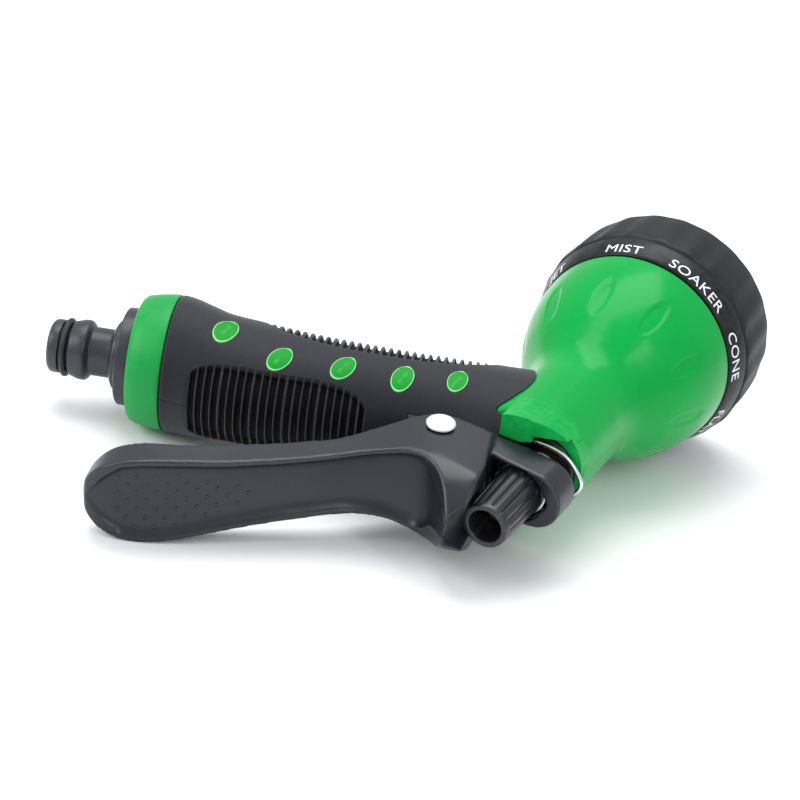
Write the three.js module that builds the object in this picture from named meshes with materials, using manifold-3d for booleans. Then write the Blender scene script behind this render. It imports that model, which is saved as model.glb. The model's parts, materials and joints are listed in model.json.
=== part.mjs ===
import * as THREE from 'three';
import { mergeVertices } from 'three/addons/utils/BufferGeometryUtils.js';
import Module from 'manifold-3d';

const wasm = await Module();
wasm.setup();

// Pistol-grip hose spray nozzle with a rear lever and a turning pattern dial.
// Lengths are millimetres. Design frame: the hose end of the handle runs
// along X, the spray side is +Y, and Z is normal to the plane of symmetry.
// Head frame: X across the barrel away from the hose, Z along the spray.

const SLIP = 0.3;
const SIMPLIFY = 0.03;
const HEAD_ANGLE = 68.7;
const HEAD_ORIGIN = [128.9, 44.9];

const HANDLE_STATIONS = [
  // x, centre y, half depth (Y), half width (Z)
  [-10.5, 0, 19.2, 19.2],
  [0, 0, 19.6, 19.6],
  [4, -0.5, 19.6, 19.3],
  [9, -1.8, 19.5, 18.4],
  [15, -3.1, 19.3, 17.3],
  [28, -4.0, 19.4, 16.4],
  [42, -4.0, 18.2, 15.5],
  [64, -3.8, 17.2, 14.8],
  [82, -4.6, 18.2, 14.8],
  [94, -6.2, 20.0, 15.0],
  [112, -7.0, 21.0, 15.2],
];
const SLEEVE_WALL = 2.6;
const SLEEVE_START = 0;
const SLEEVE_FACE = -7.4;
const CORE_START = -9.6;
const CORE_NECK_RADIUS = 14.4;

const BARREL_RADIUS = 16.4;
const BARREL_END = -71.6;
const BELL_RADIUS = 30.9;
const DIMPLES = 10;
const DIMPLE_TURN = -47;
const DIMPLE_LEAN = 28;
const DIMPLE_AT = -19;
const VALVE_OFFSET = 4.5;
const CHAMBER_RADIUS = 8.6;
const CHAMBER_FRONT = -33;
const NUT_SEAT = [9.9, -68.6];

const PIN_AT = [79, -31.2];
const PIN_RADIUS = 2.5;
const CHEEK_INNER = 9.9;
const LEVER_WALL = 2.4;
const CHEEK_OUTER = 13;
const BOSS_HALF = 9.5;
const BOSS_FROM = 68;

const KNOB_END = -106;
const KNOB_FACE = -85.7;
const LEVER_WEB = [-83.8, -80.4];
const FRAME_REAR = -88.1;
const FRAME_FRONT = -78.4;
const HOLE_OFFSET = 6;
const HOLE_RADIUS = 2.9;
const LUG_RADIUS = 8.4;
const LUG_OFFSET = 4.7;
const STEM_SLOT = [3.2, 4.6];

const DIAL_REAR = 0.4;
const DIAL_FRONT = 28.7;
const PATTERNS = 8;
const GRIP_LOBES = 24;
const LOBE_DEPTH = 0.9;
const PORT_RADIUS = 16;
const BALL_RADIUS = 1.9;
const BALL_AT = 1.1;

// Turns that lay the nozzle on its side, on dial, handle end and lever.
const REST_ROLL = 6.36;
const REST_PITCH = -3.73;

const GREEN = 0x16b45f;
const GREEN_RING = 0x24b862;
const LEAF_GREEN = 0x35bf58;
const BLACK = 0x2b2d33;
const RUBBER = 0x26272b;
const SEAL = 0x141416;
const STEEL = 0xc8cacc;
const BRASS = 0xb8934a;
const ACETAL = 0xe6e4dc;

const radians = THREE.MathUtils.degToRad;
const headCos = Math.cos(radians(HEAD_ANGLE));
const headSin = Math.sin(radians(HEAD_ANGLE));
const HEAD = new THREE.Matrix4().makeBasis(
  new THREE.Vector3(headSin, -headCos, 0),
  new THREE.Vector3(0, 0, -1),
  new THREE.Vector3(headCos, headSin, 0),
).setPosition(HEAD_ORIGIN[0], HEAD_ORIGIN[1], 0);

// ---- geometry helpers -------------------------------------------------

function signedVolume(points, index) {
  const a = new THREE.Vector3();
  const b = new THREE.Vector3();
  const c = new THREE.Vector3();
  let volume = 0;
  for (let i = 0; i < index.length; i += 3) {
    a.fromArray(points, index[i] * 3);
    b.fromArray(points, index[i + 1] * 3);
    c.fromArray(points, index[i + 2] * 3);
    volume += a.dot(b.cross(c)) / 6;
  }
  return volume;
}

// A closed manifold from any closed three geometry, turned right side out.
function solid(geometry) {
  const bare = geometry.clone();
  bare.deleteAttribute('normal');
  bare.deleteAttribute('uv');
  const welded = mergeVertices(bare, 1e-4);
  const points = new Float32Array(welded.attributes.position.array);
  const index = [];
  const source = welded.index.array;
  for (let i = 0; i < source.length; i += 3) {
    const [a, b, c] = [source[i], source[i + 1], source[i + 2]];
    if (a !== b && b !== c && c !== a) index.push(a, b, c);
  }
  if (signedVolume(points, index) < 0) {
    for (let i = 0; i < index.length; i += 3) {
      [index[i], index[i + 1]] = [index[i + 1], index[i]];
    }
  }
  const mesh = new wasm.Mesh({ numProp: 3, vertProperties: points, triVerts: new Uint32Array(index) });
  return new wasm.Manifold(mesh);
}

function toGeometry(manifold) {
  const mesh = manifold.asOriginal().simplify(SIMPLIFY).getMesh();
  const geometry = new THREE.BufferGeometry();
  const points = new Float32Array(mesh.vertProperties);
  geometry.setAttribute('position', new THREE.BufferAttribute(points, 3));
  geometry.setIndex(new THREE.BufferAttribute(new Uint32Array(mesh.triVerts), 1));
  return geometry;
}

function union(...parts) {
  return parts.reduce((sum, part) => sum.add(part));
}

function cut(base, ...tools) {
  return tools.reduce((rest, tool) => rest.subtract(tool), base);
}

// Closed profile of [radius, z] pairs turned about Z.
function turned(profile, segments = 28) {
  const outline = profile.map(([r, z]) => new THREE.Vector2(Math.max(r, 0), z));
  outline.push(outline[0].clone());
  return new THREE.LatheGeometry(outline, segments).rotateX(Math.PI / 2);
}

function tube(inner, outer, z0, z1, segments = 28) {
  return turned([[inner, z0], [outer, z0], [outer, z1], [inner, z1]], segments);
}

function rod(radius, z0, z1, segments = 20) {
  return turned([[0, z0], [radius, z0], [radius, z1], [0, z1]], segments);
}

// Flat outline in XY, from z0 to z1.
function prism(outline, z0, z1) {
  const shape = new THREE.Shape(outline.map(([x, y]) => new THREE.Vector2(x, y)));
  const options = { depth: z1 - z0, bevelEnabled: false, curveSegments: 16 };
  return new THREE.ExtrudeGeometry(shape, options).translate(0, 0, z0);
}

function box(x0, x1, y0, y1, z0, z1) {
  const block = new THREE.BoxGeometry(x1 - x0, y1 - y0, z1 - z0);
  return block.translate((x0 + x1) / 2, (y0 + y1) / 2, (z0 + z1) / 2);
}

function circle(cx, cy, r, count = 32) {
  const points = [];
  for (let i = 0; i < count; i += 1) {
    const a = (i / count) * Math.PI * 2;
    points.push([cx + r * Math.cos(a), cy + r * Math.sin(a)]);
  }
  return points;
}

// Smooth curve through open points.
function smooth(points, count) {
  const vectors = points.map(([x, y, z = 0]) => new THREE.Vector3(x, y, z));
  const curve = new THREE.CatmullRomCurve3(vectors, false, 'centripetal');
  return curve.getSpacedPoints(count).map((p) => [p.x, p.y, p.z]);
}

// Cylinder bent along a path, each ring scaled by section(t) -> [across, up].
function swept(path, section, up, sides = 12) {
  const steps = path.length - 1;
  const geometry = new THREE.CylinderGeometry(1, 1, 1, sides, steps);
  const at = geometry.attributes.position;
  const upVector = new THREE.Vector3(...up);
  const spots = path.map((p) => new THREE.Vector3(...p));
  for (let i = 0; i < at.count; i += 1) {
    const k = Math.round((0.5 - at.getY(i)) * steps);
    const ahead = spots[Math.min(k + 1, steps)].clone();
    const along = ahead.sub(spots[Math.max(k - 1, 0)]).normalize();
    const side = along.clone().cross(upVector).normalize();
    const rise = side.clone().cross(along).normalize();
    const [across, lift] = section(k / steps);
    const spot = spots[k].clone();
    spot.addScaledVector(side, at.getX(i) * across);
    spot.addScaledVector(rise, at.getZ(i) * lift);
    at.setXYZ(i, spot.x, spot.y, spot.z);
  }
  return geometry;
}

function coil(radius, wire, z0, z1, turns, stepsPerTurn = 10, sides = 4) {
  const steps = Math.round(turns * stepsPerTurn);
  const path = [];
  for (let i = 0; i <= steps; i += 1) {
    const a = (i / steps) * turns * Math.PI * 2;
    const z = z0 + wire + (i / steps) * (z1 - z0 - 2 * wire);
    path.push([radius * Math.cos(a), radius * Math.sin(a), z]);
  }
  return swept(path, () => [wire, wire], [0, 0, 1], sides);
}

function inHead(geometry) {
  return geometry.applyMatrix4(HEAD);
}

// Geometry drawn about Z, laid along X with its z as x.
function alongX(geometry) {
  return geometry.rotateY(Math.PI / 2);
}

// ---- handle -----------------------------------------------------------

function station(x) {
  const table = HANDLE_STATIONS;
  let i = 0;
  while (i < table.length - 2 && x > table[i + 1][0]) i += 1;
  const p = table[Math.max(i - 1, 0)];
  const a = table[i];
  const b = table[i + 1];
  const n = table[Math.min(i + 2, table.length - 1)];
  const t = THREE.MathUtils.clamp((x - a[0]) / (b[0] - a[0]), 0, 1);
  return [1, 2, 3].map((k) => {
    const span = b[0] - a[0];
    const slopeA = b[0] === p[0] ? 0 : ((b[k] - p[k]) / (b[0] - p[0])) * span;
    const slopeB = n[0] === a[0] ? 0 : ((n[k] - a[k]) / (n[0] - a[0])) * span;
    const t2 = t * t;
    const t3 = t2 * t;
    return (2 * t3 - 3 * t2 + 1) * a[k] + (t3 - 2 * t2 + t) * slopeA
      + (3 * t2 - 2 * t3) * b[k] + (t3 - t2) * slopeB;
  });
}

// Oval handle form between two stations, grown or shrunk by an offset.
function handleForm(x0, x1, offset, sides = 56, steps = 40) {
  const geometry = new THREE.CylinderGeometry(1, 1, 1, sides, steps);
  const at = geometry.attributes.position;
  for (let i = 0; i < at.count; i += 1) {
    const x = x0 + (at.getY(i) + 0.5) * (x1 - x0);
    const [centre, depth, width] = station(x);
    const y = centre + at.getX(i) * (depth + offset);
    const z = at.getZ(i) * (width + offset);
    at.setXYZ(i, x, y, z);
  }
  return geometry;
}

// Point on the handle skin at an angle from +Z toward the lever (-Y).
function skinPoint(x, degrees, lift = 0) {
  const [centre, depth, width] = station(x);
  const a = radians(degrees);
  return [x, centre - Math.sin(a) * (depth + lift), Math.cos(a) * (width + lift)];
}

// Face between the sleeve and the core beneath it.
function innerForm(grow) {
  return solid(handleForm(-6, 118, grow - SLEEVE_WALL, 20, 9));
}

function bossOutline(grow = 0) {
  const [px, py] = PIN_AT;
  const arc = [];
  for (let i = 0; i <= 12; i += 1) {
    const a = radians(180 + 15 * i);
    arc.push([px + (6 + grow) * Math.cos(a), py + (6 + grow) * Math.sin(a)]);
  }
  return [[px - 12 - grow, -12], ...arc, [px + 12 + grow, -12]];
}

// Plane through the junction, parallel to the barrel, that ends the sleeve.
function beyondSleeve() {
  return solid(inHead(box(SLEEVE_FACE, 80, -40, 40, -120, 60)));
}

const LEAVES = [
  // x, angle from +Z toward the lever, turn of the leaf, half length
  [15.5, 9, 74, 5.2],
  [32.0, 26, 60, 4.7],
  [49.5, 24, 60, 4.7],
  [66.0, 25, 76, 4.8],
  [81.0, 16, 78, 4.4],
];

function leafOutline(half, shrink = 0) {
  const points = [];
  const waist = half * 0.66 - shrink;
  const tip = half - shrink;
  for (let i = 0; i < 12; i += 1) {
    const a = (i / 12) * Math.PI * 2;
    const pinch = Math.abs(Math.sin(a)) ** 1.25;
    points.push([tip * Math.cos(a), Math.sign(Math.sin(a)) * waist * pinch]);
  }
  return points;
}

// Leaf-shaped plug standing out along the handle's local normal.
function leafPlug([x, angle, turn, half], side, shrink) {
  const plug = prism(leafOutline(half, shrink), -4.5, 4.5).rotateZ(radians(turn));
  const [px, py, pz] = skinPoint(x, angle);
  plug.rotateX(radians(angle)).translate(px, py, pz);
  if (side < 0) plug.scale(1, 1, -1);
  return solid(plug);
}

function gripRibs() {
  const cutters = [];
  // Cross grooves on the lever side of the handle.
  for (let i = 0; i < 21; i += 1) {
    const x = 9.3 + i * 2.3;
    const reach = 53 - 21 * Math.abs((i - 9) / 12) ** 2.2;
    const path = [];
    for (let k = 0; k <= 4; k += 1) {
      path.push(skinPoint(x, 90 - reach + (2 * reach * k) / 4, 0.6));
    }
    cutters.push(solid(swept(path, () => [0.9, 1.1], [1, 0, 0], 3)));
  }
  // Finer grooves on the finger side.
  for (let i = 0; i < 24; i += 1) {
    const x = 26 + i * 2.75;
    const path = [];
    for (let k = 0; k <= 3; k += 1) {
      path.push(skinPoint(x, -90 - 40 + (80 * k) / 3, 0.5));
    }
    cutters.push(solid(swept(path, () => [0.9, 1.0], [1, 0, 0], 3)));
  }
  return wasm.Manifold.union(cutters);
}

function gripSleeve() {
  const outer = solid(handleForm(SLEEVE_START, 112, 0, 28, 9));
  const inner = innerForm(SLIP);
  const barrel = headForm(SLIP + 0.1);
  const boss = solid(prism(bossOutline(SLIP), -BOSS_HALF - SLIP, BOSS_HALF + SLIP));
  const plugs = [];
  for (const leaf of LEAVES) {
    plugs.push(leafPlug(leaf, 1, 0), leafPlug(leaf, -1, 0));
  }
  return cut(outer, inner, barrel, boss, beyondSleeve(), gripRibs(), ...plugs);
}

function leafInset(leaf, side) {
  const skin = solid(handleForm(0, 100, 0.3, 28, 9));
  const core = innerForm(SLIP);
  const outer = leafPlug(leaf, side, SLIP).intersect(skin);
  return cut(outer, core);
}

function endRing() {
  const profile = [
    [CORE_NECK_RADIUS + SLIP, -10.6], [16.2, -10.6], [17.4, -10.1], [18.2, -9.0], [18.9, -6.0],
    [19.5, -2.4], [19.6, -1.0], [19.3, -SLIP], [CORE_NECK_RADIUS + SLIP, -SLIP],
  ];
  return solid(alongX(turned(profile, 30)));
}

// ---- coupling ---------------------------------------------------------

const COUPLING_BORE = 4.6;

function hoseCoupling() {
  const profile = [
    [COUPLING_BORE, -35.6], [6.6, -35.6], [7.5, -34.9], [7.7, -34.2], [7.7, -32.3], [6.6, -32.3],
    [6.6, -29.3], [7.9, -29.3], [8.0, -28.6], [8.65, -26.6], [8.65, -25.0], [8.3, -24.4],
    [7.0, -23.4], [7.0, -17.6], [8.4, -17.2], [9.8, -16.4], [10.0, -15.8], [10.0, -11.0],
    [9.3, -10.9], [9.3, -1.2], [COUPLING_BORE, -1.2],
  ];
  const flange = solid(alongX(turned([
    [COUPLING_BORE, -14.6], [13.6, -14.6], [14.0, -14.2], [14.0, -11.0], [COUPLING_BORE, -11.0],
  ])));
  return union(solid(alongX(turned(profile, 22))), flange);
}

function couplingOring() {
  const profile = circle(7.6, -30.8, 0.85, 8).map(([r, z]) => [r, z]);
  return solid(alongX(turned(profile, 28)));
}

function couplingWasher() {
  return solid(alongX(tube(5, 9.2, -0.9, 0.7, 32)));
}

function inletFilter() {
  const disc = solid(alongX(turned([[0, 1.1], [8.6, 1.1], [8.6, 2.0], [7.4, 2.0], [0, 4.2]], 32)));
  const holes = [];
  for (const [count, r] of [[4, 2.0], [8, 4.8]]) {
    for (let i = 0; i < count; i += 1) {
      const a = (i / count) * Math.PI * 2;
      const hole = alongX(rod(0.75, 0, 6, 5));
      holes.push(solid(hole.translate(0, r * Math.sin(a), r * Math.cos(a))));
    }
  }
  return cut(disc, ...holes);
}

// ---- body -------------------------------------------------------------

const BELL_PROFILE = [
  [BARREL_RADIUS, -42], [16.9, -38.5], [18.0, -35], [19.9, -31.5], [22.1, -28], [24.3, -24.5],
  [26.3, -20.5], [28.1, -16], [29.5, -11], [30.4, -6], [BELL_RADIUS, -1.0],
];

function bellDimples() {
  const cutters = [];
  for (let i = 0; i < DIMPLES; i += 1) {
    const a = DIMPLE_TURN + (i / DIMPLES) * 360;
    const dimple = new THREE.SphereGeometry(1, 10, 8).scale(3.4, 1.3, 9.4);
    dimple.rotateX(radians(DIMPLE_LEAN)).translate(0, -27.6, DIMPLE_AT).rotateZ(radians(a));
    cutters.push(solid(inHead(dimple)));
  }
  return wasm.Manifold.union(cutters);
}

// Barrel and bell, turned about the spray axis.
function headForm(grow = 0, segments = 40) {
  const outline = [
    [15.2, BARREL_END - grow], [BARREL_RADIUS, BARREL_END + 1.2 - grow], ...BELL_PROFILE,
    [BELL_RADIUS - 0.4, grow],
  ].map(([r, z]) => [r + grow, z]);
  return solid(inHead(turned([[0, BARREL_END - grow], ...outline, [0, grow]], segments)));
}

function body() {
  const shell = headForm();
  const post = solid(inHead(rod(5, -2, 15, 20)));
  const core = innerForm(0).intersect(solid(box(2, 106, -40, 40, -40, 40)));
  const neck = solid(alongX(rod(CORE_NECK_RADIUS, CORE_START, 5, 32)));
  const boss = solid(prism(bossOutline(), -BOSS_HALF, BOSS_HALF));
  const coreLimit = union(
    solid(inHead(box(6, 60, -40, 40, -140, 80))),
    solid(inHead(box(-9, 60, -40, 40, -140, BARREL_END))),
  );
  const ears = [1, -1].map((s) => solid(inHead(
    box(-7.0, -2.6, s > 0 ? 9.5 : -12.1, s > 0 ? 12.1 : -9.5, -76.2, BARREL_END + 3),
  )));
  // Skirts on both sides of the barrel cover the ears and the ends of the lock wire.
  const [skirtRear, skirtFront, skirtEnd] = [-6.9, 2.4, -76.9];
  const skirts = cut(
    solid(inHead(rod(BARREL_RADIUS, skirtEnd, BARREL_END + 1, 48))).intersect(
      solid(inHead(box(skirtRear, skirtFront, -20, 20, skirtEnd - 1, 0))),
    ),
    solid(inHead(box(-20, 20, -8.6, 8.6, skirtEnd - 1, BARREL_END))),
    solid(inHead(box(skirtRear + 1.2, 20, -12.8, 12.8, skirtEnd + 1.2, BARREL_END))),
  );
  const earHoles = solid(inHead(rod(1.05, -14, 14, 16).rotateX(Math.PI / 2).translate(-5.1, 0, WIRE_PLANE)));
  const whole = union(shell, post, core.subtract(coreLimit), neck, boss, skirts, ...ears);

  const couplingSocket = solid(alongX(rod(9.6, -20, 4.4, 28)));
  const handleBore = solid(alongX(rod(5.5, 4, 100, 20)).translate(0, -1.5, 0));
  const chamber = solid(inHead(rod(CHAMBER_RADIUS, -80, CHAMBER_FRONT, 28).translate(VALVE_OFFSET, 0, 0)));
  const nutSeat = solid(inHead(rod(NUT_SEAT[0], -80, NUT_SEAT[1], 28).translate(VALVE_OFFSET, 0, 0)));
  const throat = solid(inHead(rod(5, -40, -13.5, 20).translate(VALVE_OFFSET, 0, 0)));
  const duct = solid(inHead(box(0, PORT_RADIUS + 3.6, -3.6, 3.6, -20, -12.8)));
  const port = solid(inHead(rod(3.6, -17, 2, 16).translate(PORT_RADIUS, 0, 0)));
  const sealSeat = solid(inHead(rod(5.4, -3.2, 2, 20).translate(PORT_RADIUS, 0, 0)));
  const ballWell = solid(inHead(rod(2.3, -9.5, 2, 12).translate(-PORT_RADIUS, 0, 0)));
  const screwHole = solid(inHead(rod(1.95, 2, 20, 12)));
  const pinHole = solid(rod(PIN_RADIUS + SLIP / 2, -20, 20, 16).translate(PIN_AT[0], PIN_AT[1], 0));
  return cut(
    whole, couplingSocket, handleBore, chamber, nutSeat, throat, duct, port, sealSeat,
    ballWell, screwHole, pinHole, earHoles, bellDimples(),
  );
}

// ---- lever ------------------------------------------------------------

const LEVER_FRONT = [
  [-8.4, -66.5], [-6.5, -62.6], [-2, -60.6], [4, -59.6], [15, -57.4], [30, -50.2], [44, -43.6],
  [54, -38.6], [62, -32.6], [70, -27.8], [76, -25.7], [81, -25.2], [86, -26.2],
];
const LEVER_REAR = [
  [88.6, -63.6], [85.8, -64.2], [84.0, -60], [82.2, -54], [79.2, -48.4], [74.5, -44.6],
  [68, -43.4], [60, -45.0], [50, -49.6], [35, -56.8], [22, -63.0], [12, -67.0], [4, -69.0],
  [-3, -69.4], [-7.4, -68.6],
];
const LEVER_WIDTHS = [
  // x, half width of the paddle
  [-8.4, 0.6], [-7.6, 4.4], [-5.6, 7.6], [-2.4, 10.2], [2.5, 12.1], [8, 12.8], [16, 12.4],
  [28, 10.9], [42, 9.9], [56, 9.8], [66, 10.9], [73, 12.5], [79, 13], [86, 12.5], [96, 11.2],
];

function leverPaddle() {
  const front = smooth(LEVER_FRONT, 16).map(([x, y]) => [x, y]);
  const rear = smooth(LEVER_REAR, 22).map(([x, y]) => [x, y]);
  const hornSide = [[92.5, -44.5], [88.9, -62.8]];
  const side = prism([...front, [93.2, -28.4], ...hornSide, ...rear], -CHEEK_OUTER, CHEEK_OUTER);
  const widths = smooth(LEVER_WIDTHS, 18).map(([x, w]) => [x, w]);
  const plan = [...widths, ...widths.slice().reverse().map(([x, w]) => [x, -w])];
  const planform = prism(plan, 0, 100).rotateX(Math.PI / 2);
  return solid(side).intersect(solid(planform));
}

// The tail between palm rest and knob narrows toward its rear edge.
function hornTrim() {
  const flank = [[-12, 13.2], [-42, 13.2], [-47, 12.6], [-52, 11], [-57, 8], [-61, 5], [-66, 2.4]];
  const outline = [...flank, ...flank.slice().reverse().map(([y, z]) => [y, -z])];
  return solid(prism(outline, 72, 96).rotateZ(Math.PI / 2).rotateY(Math.PI / 2));
}

function leverFrame() {
  const outline = [];
  const c = VALVE_OFFSET + LUG_OFFSET;
  for (let i = 0; i <= 10; i += 1) {
    const a = radians(-78 + (156 * i) / 10);
    outline.push([c + LUG_RADIUS * Math.cos(a), LUG_RADIUS * Math.sin(a)]);
  }
  outline.push([0.5, 9.3], [-8, 11.4], [-15, 12.8], [-19, 13], [-24, 13]);
  outline.push([-24, -13], [-19, -13], [-15, -12.8], [-8, -11.4], [0.5, -9.3]);
  const plate = solid(inHead(prism(outline, FRAME_REAR, FRAME_FRONT)));
  const under = [[60, -90], [60, -31], ...LEVER_FRONT.slice(-4), [102.3, -28.8], [122, -36.4], [122, -90]];
  return plate.intersect(solid(prism(under, -CHEEK_OUTER, CHEEK_OUTER)));
}

function dishCut() {
  const rear = smooth([...LEVER_REAR.slice(2)].map(([x, y]) => [x, y, 0]), 24);
  const widthAt = (x) => {
    let i = 0;
    while (i < LEVER_WIDTHS.length - 2 && x > LEVER_WIDTHS[i + 1][0]) i += 1;
    const [xa, wa] = LEVER_WIDTHS[i];
    const [xb, wb] = LEVER_WIDTHS[i + 1];
    return wa + ((wb - wa) * (x - xa)) / (xb - xa);
  };
  const section = (t) => {
    const spot = rear[Math.round(t * 24)];
    const fade = Math.min(1, (1 - t) * 7, 0.25 + t * 5);
    const horn = spot[1] < -48 && spot[0] > 70 ? 0.55 : 1;
    return [2.6 * fade * horn + 0.4, Math.max((widthAt(spot[0]) - 1.5) * Math.sqrt(fade) * horn, 1)];
  };
  return solid(swept(rear, section, [0, 0, 1], 14));
}

function leverPocket() {
  // Hollow facing the handle, from the paddle to the pivot cheeks.
  const front = [[4, -58], [16, -55.8], [30, -48.6], [44, -41.8], [54, -36.6], [62, -30], [70, -22]];
  const rear = [[89.4, -20], [89.4, -37], [86, -39.2], [76, -39.4], [68, -39.4], [60, -40.9], [50, -45.0],
    [35, -52.2], [22, -58.4], [12, -61.9], [4, -63.2]];
  const room = (x, w) => (x > BOSS_FROM ? CHEEK_INNER : Math.min(w - LEVER_WALL, CHEEK_INNER));
  const widths = smooth(LEVER_WIDTHS.slice(3), 18).map(([x, w]) => [x, room(x, w)]);
  const plan = [...widths, ...widths.slice().reverse().map(([x, w]) => [x, -w])];
  const planform = prism(plan, 0, 100).rotateX(Math.PI / 2);
  const raised = front.map(([x, y]) => [x, y + 6]);
  return solid(prism([...raised, ...rear], -CHEEK_INNER, CHEEK_INNER)).intersect(solid(planform));
}

function lever() {
  const paddle = leverPaddle();
  const horned = union(
    paddle.intersect(solid(box(-20, 74, -90, 0, -20, 20))),
    paddle.intersect(hornTrim()).intersect(solid(box(73.5, 100, -90, 0, -20, 20))),
  );
  const whole = union(horned, leverFrame());
  const knobWell = solid(inHead(rod(8.1, -130, LEVER_WEB[0], 28).translate(VALVE_OFFSET, 0, 0)));
  const wellSides = solid(inHead(box(-3.6, VALVE_OFFSET + 2.2, -8.0, 8.0, FRAME_REAR - 2, LEVER_WEB[0])));
  const stemSlot = solid(inHead(slotted(rod(STEM_SLOT[0], -90, -70, 16), STEM_SLOT[1])));
  const hole = solid(inHead(rod(HOLE_RADIUS, -100, -60, 20).translate(VALVE_OFFSET + HOLE_OFFSET, 0, 0)));
  const behindLug = solid(inHead(box(-1, 30, -14, 14, -92, FRAME_REAR)));
  const lightening = solid(inHead(box(-24, VALVE_OFFSET + 1.5, -8.6, 8.6, LEVER_WEB[1], -60)));
  const pinHole = solid(rod(PIN_RADIUS + SLIP / 2, -20, 20, 16).translate(PIN_AT[0], PIN_AT[1], 0));
  const bossRoom = solid(rod(7.0, -CHEEK_INNER, CHEEK_INNER, 20).translate(PIN_AT[0], PIN_AT[1], 0));
  return cut(
    whole, leverPocket(), bossRoom, lightening, dishCut(), knobWell, wellSides, behindLug,
    stemSlot, hole, pinHole,
  );
}

// Slot as long as the stem's sideways drift needs.
function slotted(rodGeometry, length) {
  const at = rodGeometry.attributes.position;
  for (let i = 0; i < at.count; i += 1) {
    if (at.getX(i) > 0.01) at.setX(i, at.getX(i) + length / 2);
    else if (at.getX(i) < -0.01) at.setX(i, at.getX(i) - length / 2);
  }
  return rodGeometry.translate(VALVE_OFFSET, 0, 0);
}

function pivotPin() {
  const [x, y] = PIN_AT;
  const shaft = rod(PIN_RADIUS, -14.6, 13.3, 18);
  const head = turned([[0, 13.3], [3.9, 13.3], [4.0, 13.7], [3.8, 14.2], [3.2, 14.5], [0, 14.6]], 24);
  return union(solid(shaft), solid(head)).translate([x, y, 0]);
}

function pinCap() {
  const [x, y] = PIN_AT;
  const cap = turned([[PIN_RADIUS + SLIP, -13.3], [3.9, -13.3], [3.9, -13.9], [3.4, -15.2], [0, -15.4],
    [0, -14.9], [PIN_RADIUS + SLIP, -14.9]], 20);
  return solid(cap.translate(x, y, 0));
}

// ---- valve ------------------------------------------------------------

const WIRE_PLANE = -73.7;
const WIRE_RADIUS = 0.65;

function valvePart(geometry) {
  return solid(inHead(geometry.translate(VALVE_OFFSET, 0, 0)));
}

function valveStem() {
  const profile = [
    [0, -100], [2.4, -100], [2.4, -47.4], [4.2, -47.4], [4.2, -45.6], [2.4, -45.6], [2.4, -39.2], [0, -39.2],
  ];
  return valvePart(turned(profile, 18));
}

function valvePlunger() {
  return valvePart(turned([
    [2.7, -45.3], [7.4, -45.3], [7.4, -40.0], [6.6, -39.0], [2.7, -39.0],
  ], 24));
}

function plungerSeal() {
  const profile = [[0, -38.7], [6.9, -38.7], [7.2, -38.3], [6.6, -37.2], [4.6, -36.7], [0, -36.7]];
  return valvePart(turned(profile, 24));
}

function valveSeat() {
  return valvePart(turned([[4.2, -36.3], [5.4, -36.3], [6.2, -35.6], [8.3, -35.4], [8.3, -33.4],
    [4.2, -33.4]], 24));
}

function returnSpring() {
  return valvePart(coil(5.6, 0.55, -61.2, -45.6, 5.2));
}

function glandNut() {
  const bodyProfile = [
    [2.8, -61.5], [8.3, -61.5], [8.3, -68.9], [9.6, -68.9], [9.6, -71.9], [9.0, -72.4], [4.6, -72.4],
    [4.6, -67.0], [2.8, -67.0],
  ];
  return valvePart(turned(bodyProfile, 28));
}

function stemOring() {
  return valvePart(turned(circle(3.45, -68.3, 0.95, 6), 18));
}

function glandCollar() {
  return valvePart(tube(2.8, 4.3, -72.2, -69.6, 18));
}

function thrustWasher() {
  return valvePart(tube(2.75, 7.8, -85.35, -84.15, 24));
}

function flowKnob() {
  const profile = [
    [2.7, KNOB_FACE], [7.1, KNOB_FACE], [7.1, KNOB_FACE - 1.6], [6.45, KNOB_END + 1.3],
    [6.2, KNOB_END], [4.6, KNOB_END], [4.5, KNOB_END + 10], [2.7, KNOB_END + 10],
  ];
  const flutes = [];
  for (let i = 0; i < 17; i += 1) {
    const a = (i / 17) * Math.PI * 2;
    const groove = new THREE.CylinderGeometry(0.5, 0.5, 22, 4).rotateX(Math.PI / 2);
    groove.translate(7.35, 0, KNOB_FACE - 8.2).rotateZ(a);
    flutes.push(solid(groove.translate(VALVE_OFFSET, 0, 0).applyMatrix4(HEAD)));
  }
  return cut(valvePart(turned(profile, 34)), wasm.Manifold.union(flutes));
}

function lockWire() {
  const side = [
    [-5.1, 11.6], [-5.1, 10.3], [-5.0, 8.9], [-3.6, 8.3], [0.5, 8.4], [4.5, 8.5], [8.4, 8.2], [12.0, 6.8],
    [15.0, 4.1], [16.9, 1.4],
  ];
  const points = [...side, [17.2, 0], ...side.slice().reverse().map(([x, y]) => [x, -y])];
  const path = smooth(points.map(([x, y]) => [x, y, WIRE_PLANE]), 36);
  return solid(inHead(swept(path, () => [WIRE_RADIUS, WIRE_RADIUS], [0, 0, 1], 6)));
}

// ---- dial -------------------------------------------------------------

function outletSeal() {
  return solid(inHead(tube(3.7, 5.1, -2.9, 2.9, 20).translate(PORT_RADIUS, 0, 0)));
}

function detentBall() {
  const ball = new THREE.SphereGeometry(BALL_RADIUS, 10, 8).translate(-PORT_RADIUS, 0, BALL_AT);
  return solid(inHead(ball));
}

function detentSpring() {
  const wound = coil(1.4, 0.3, -9.3, BALL_AT - BALL_RADIUS - SLIP, 4, 8, 4);
  return solid(inHead(wound.translate(-PORT_RADIUS, 0, 0)));
}

function labelRing() {
  return solid(inHead(turned([
    [28.6, DIAL_REAR], [31.0, DIAL_REAR], [31.4, 0.9], [33.6, 6.3], [33.6, 7.0], [28.6, 7.0],
  ], 40)));
}

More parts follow.
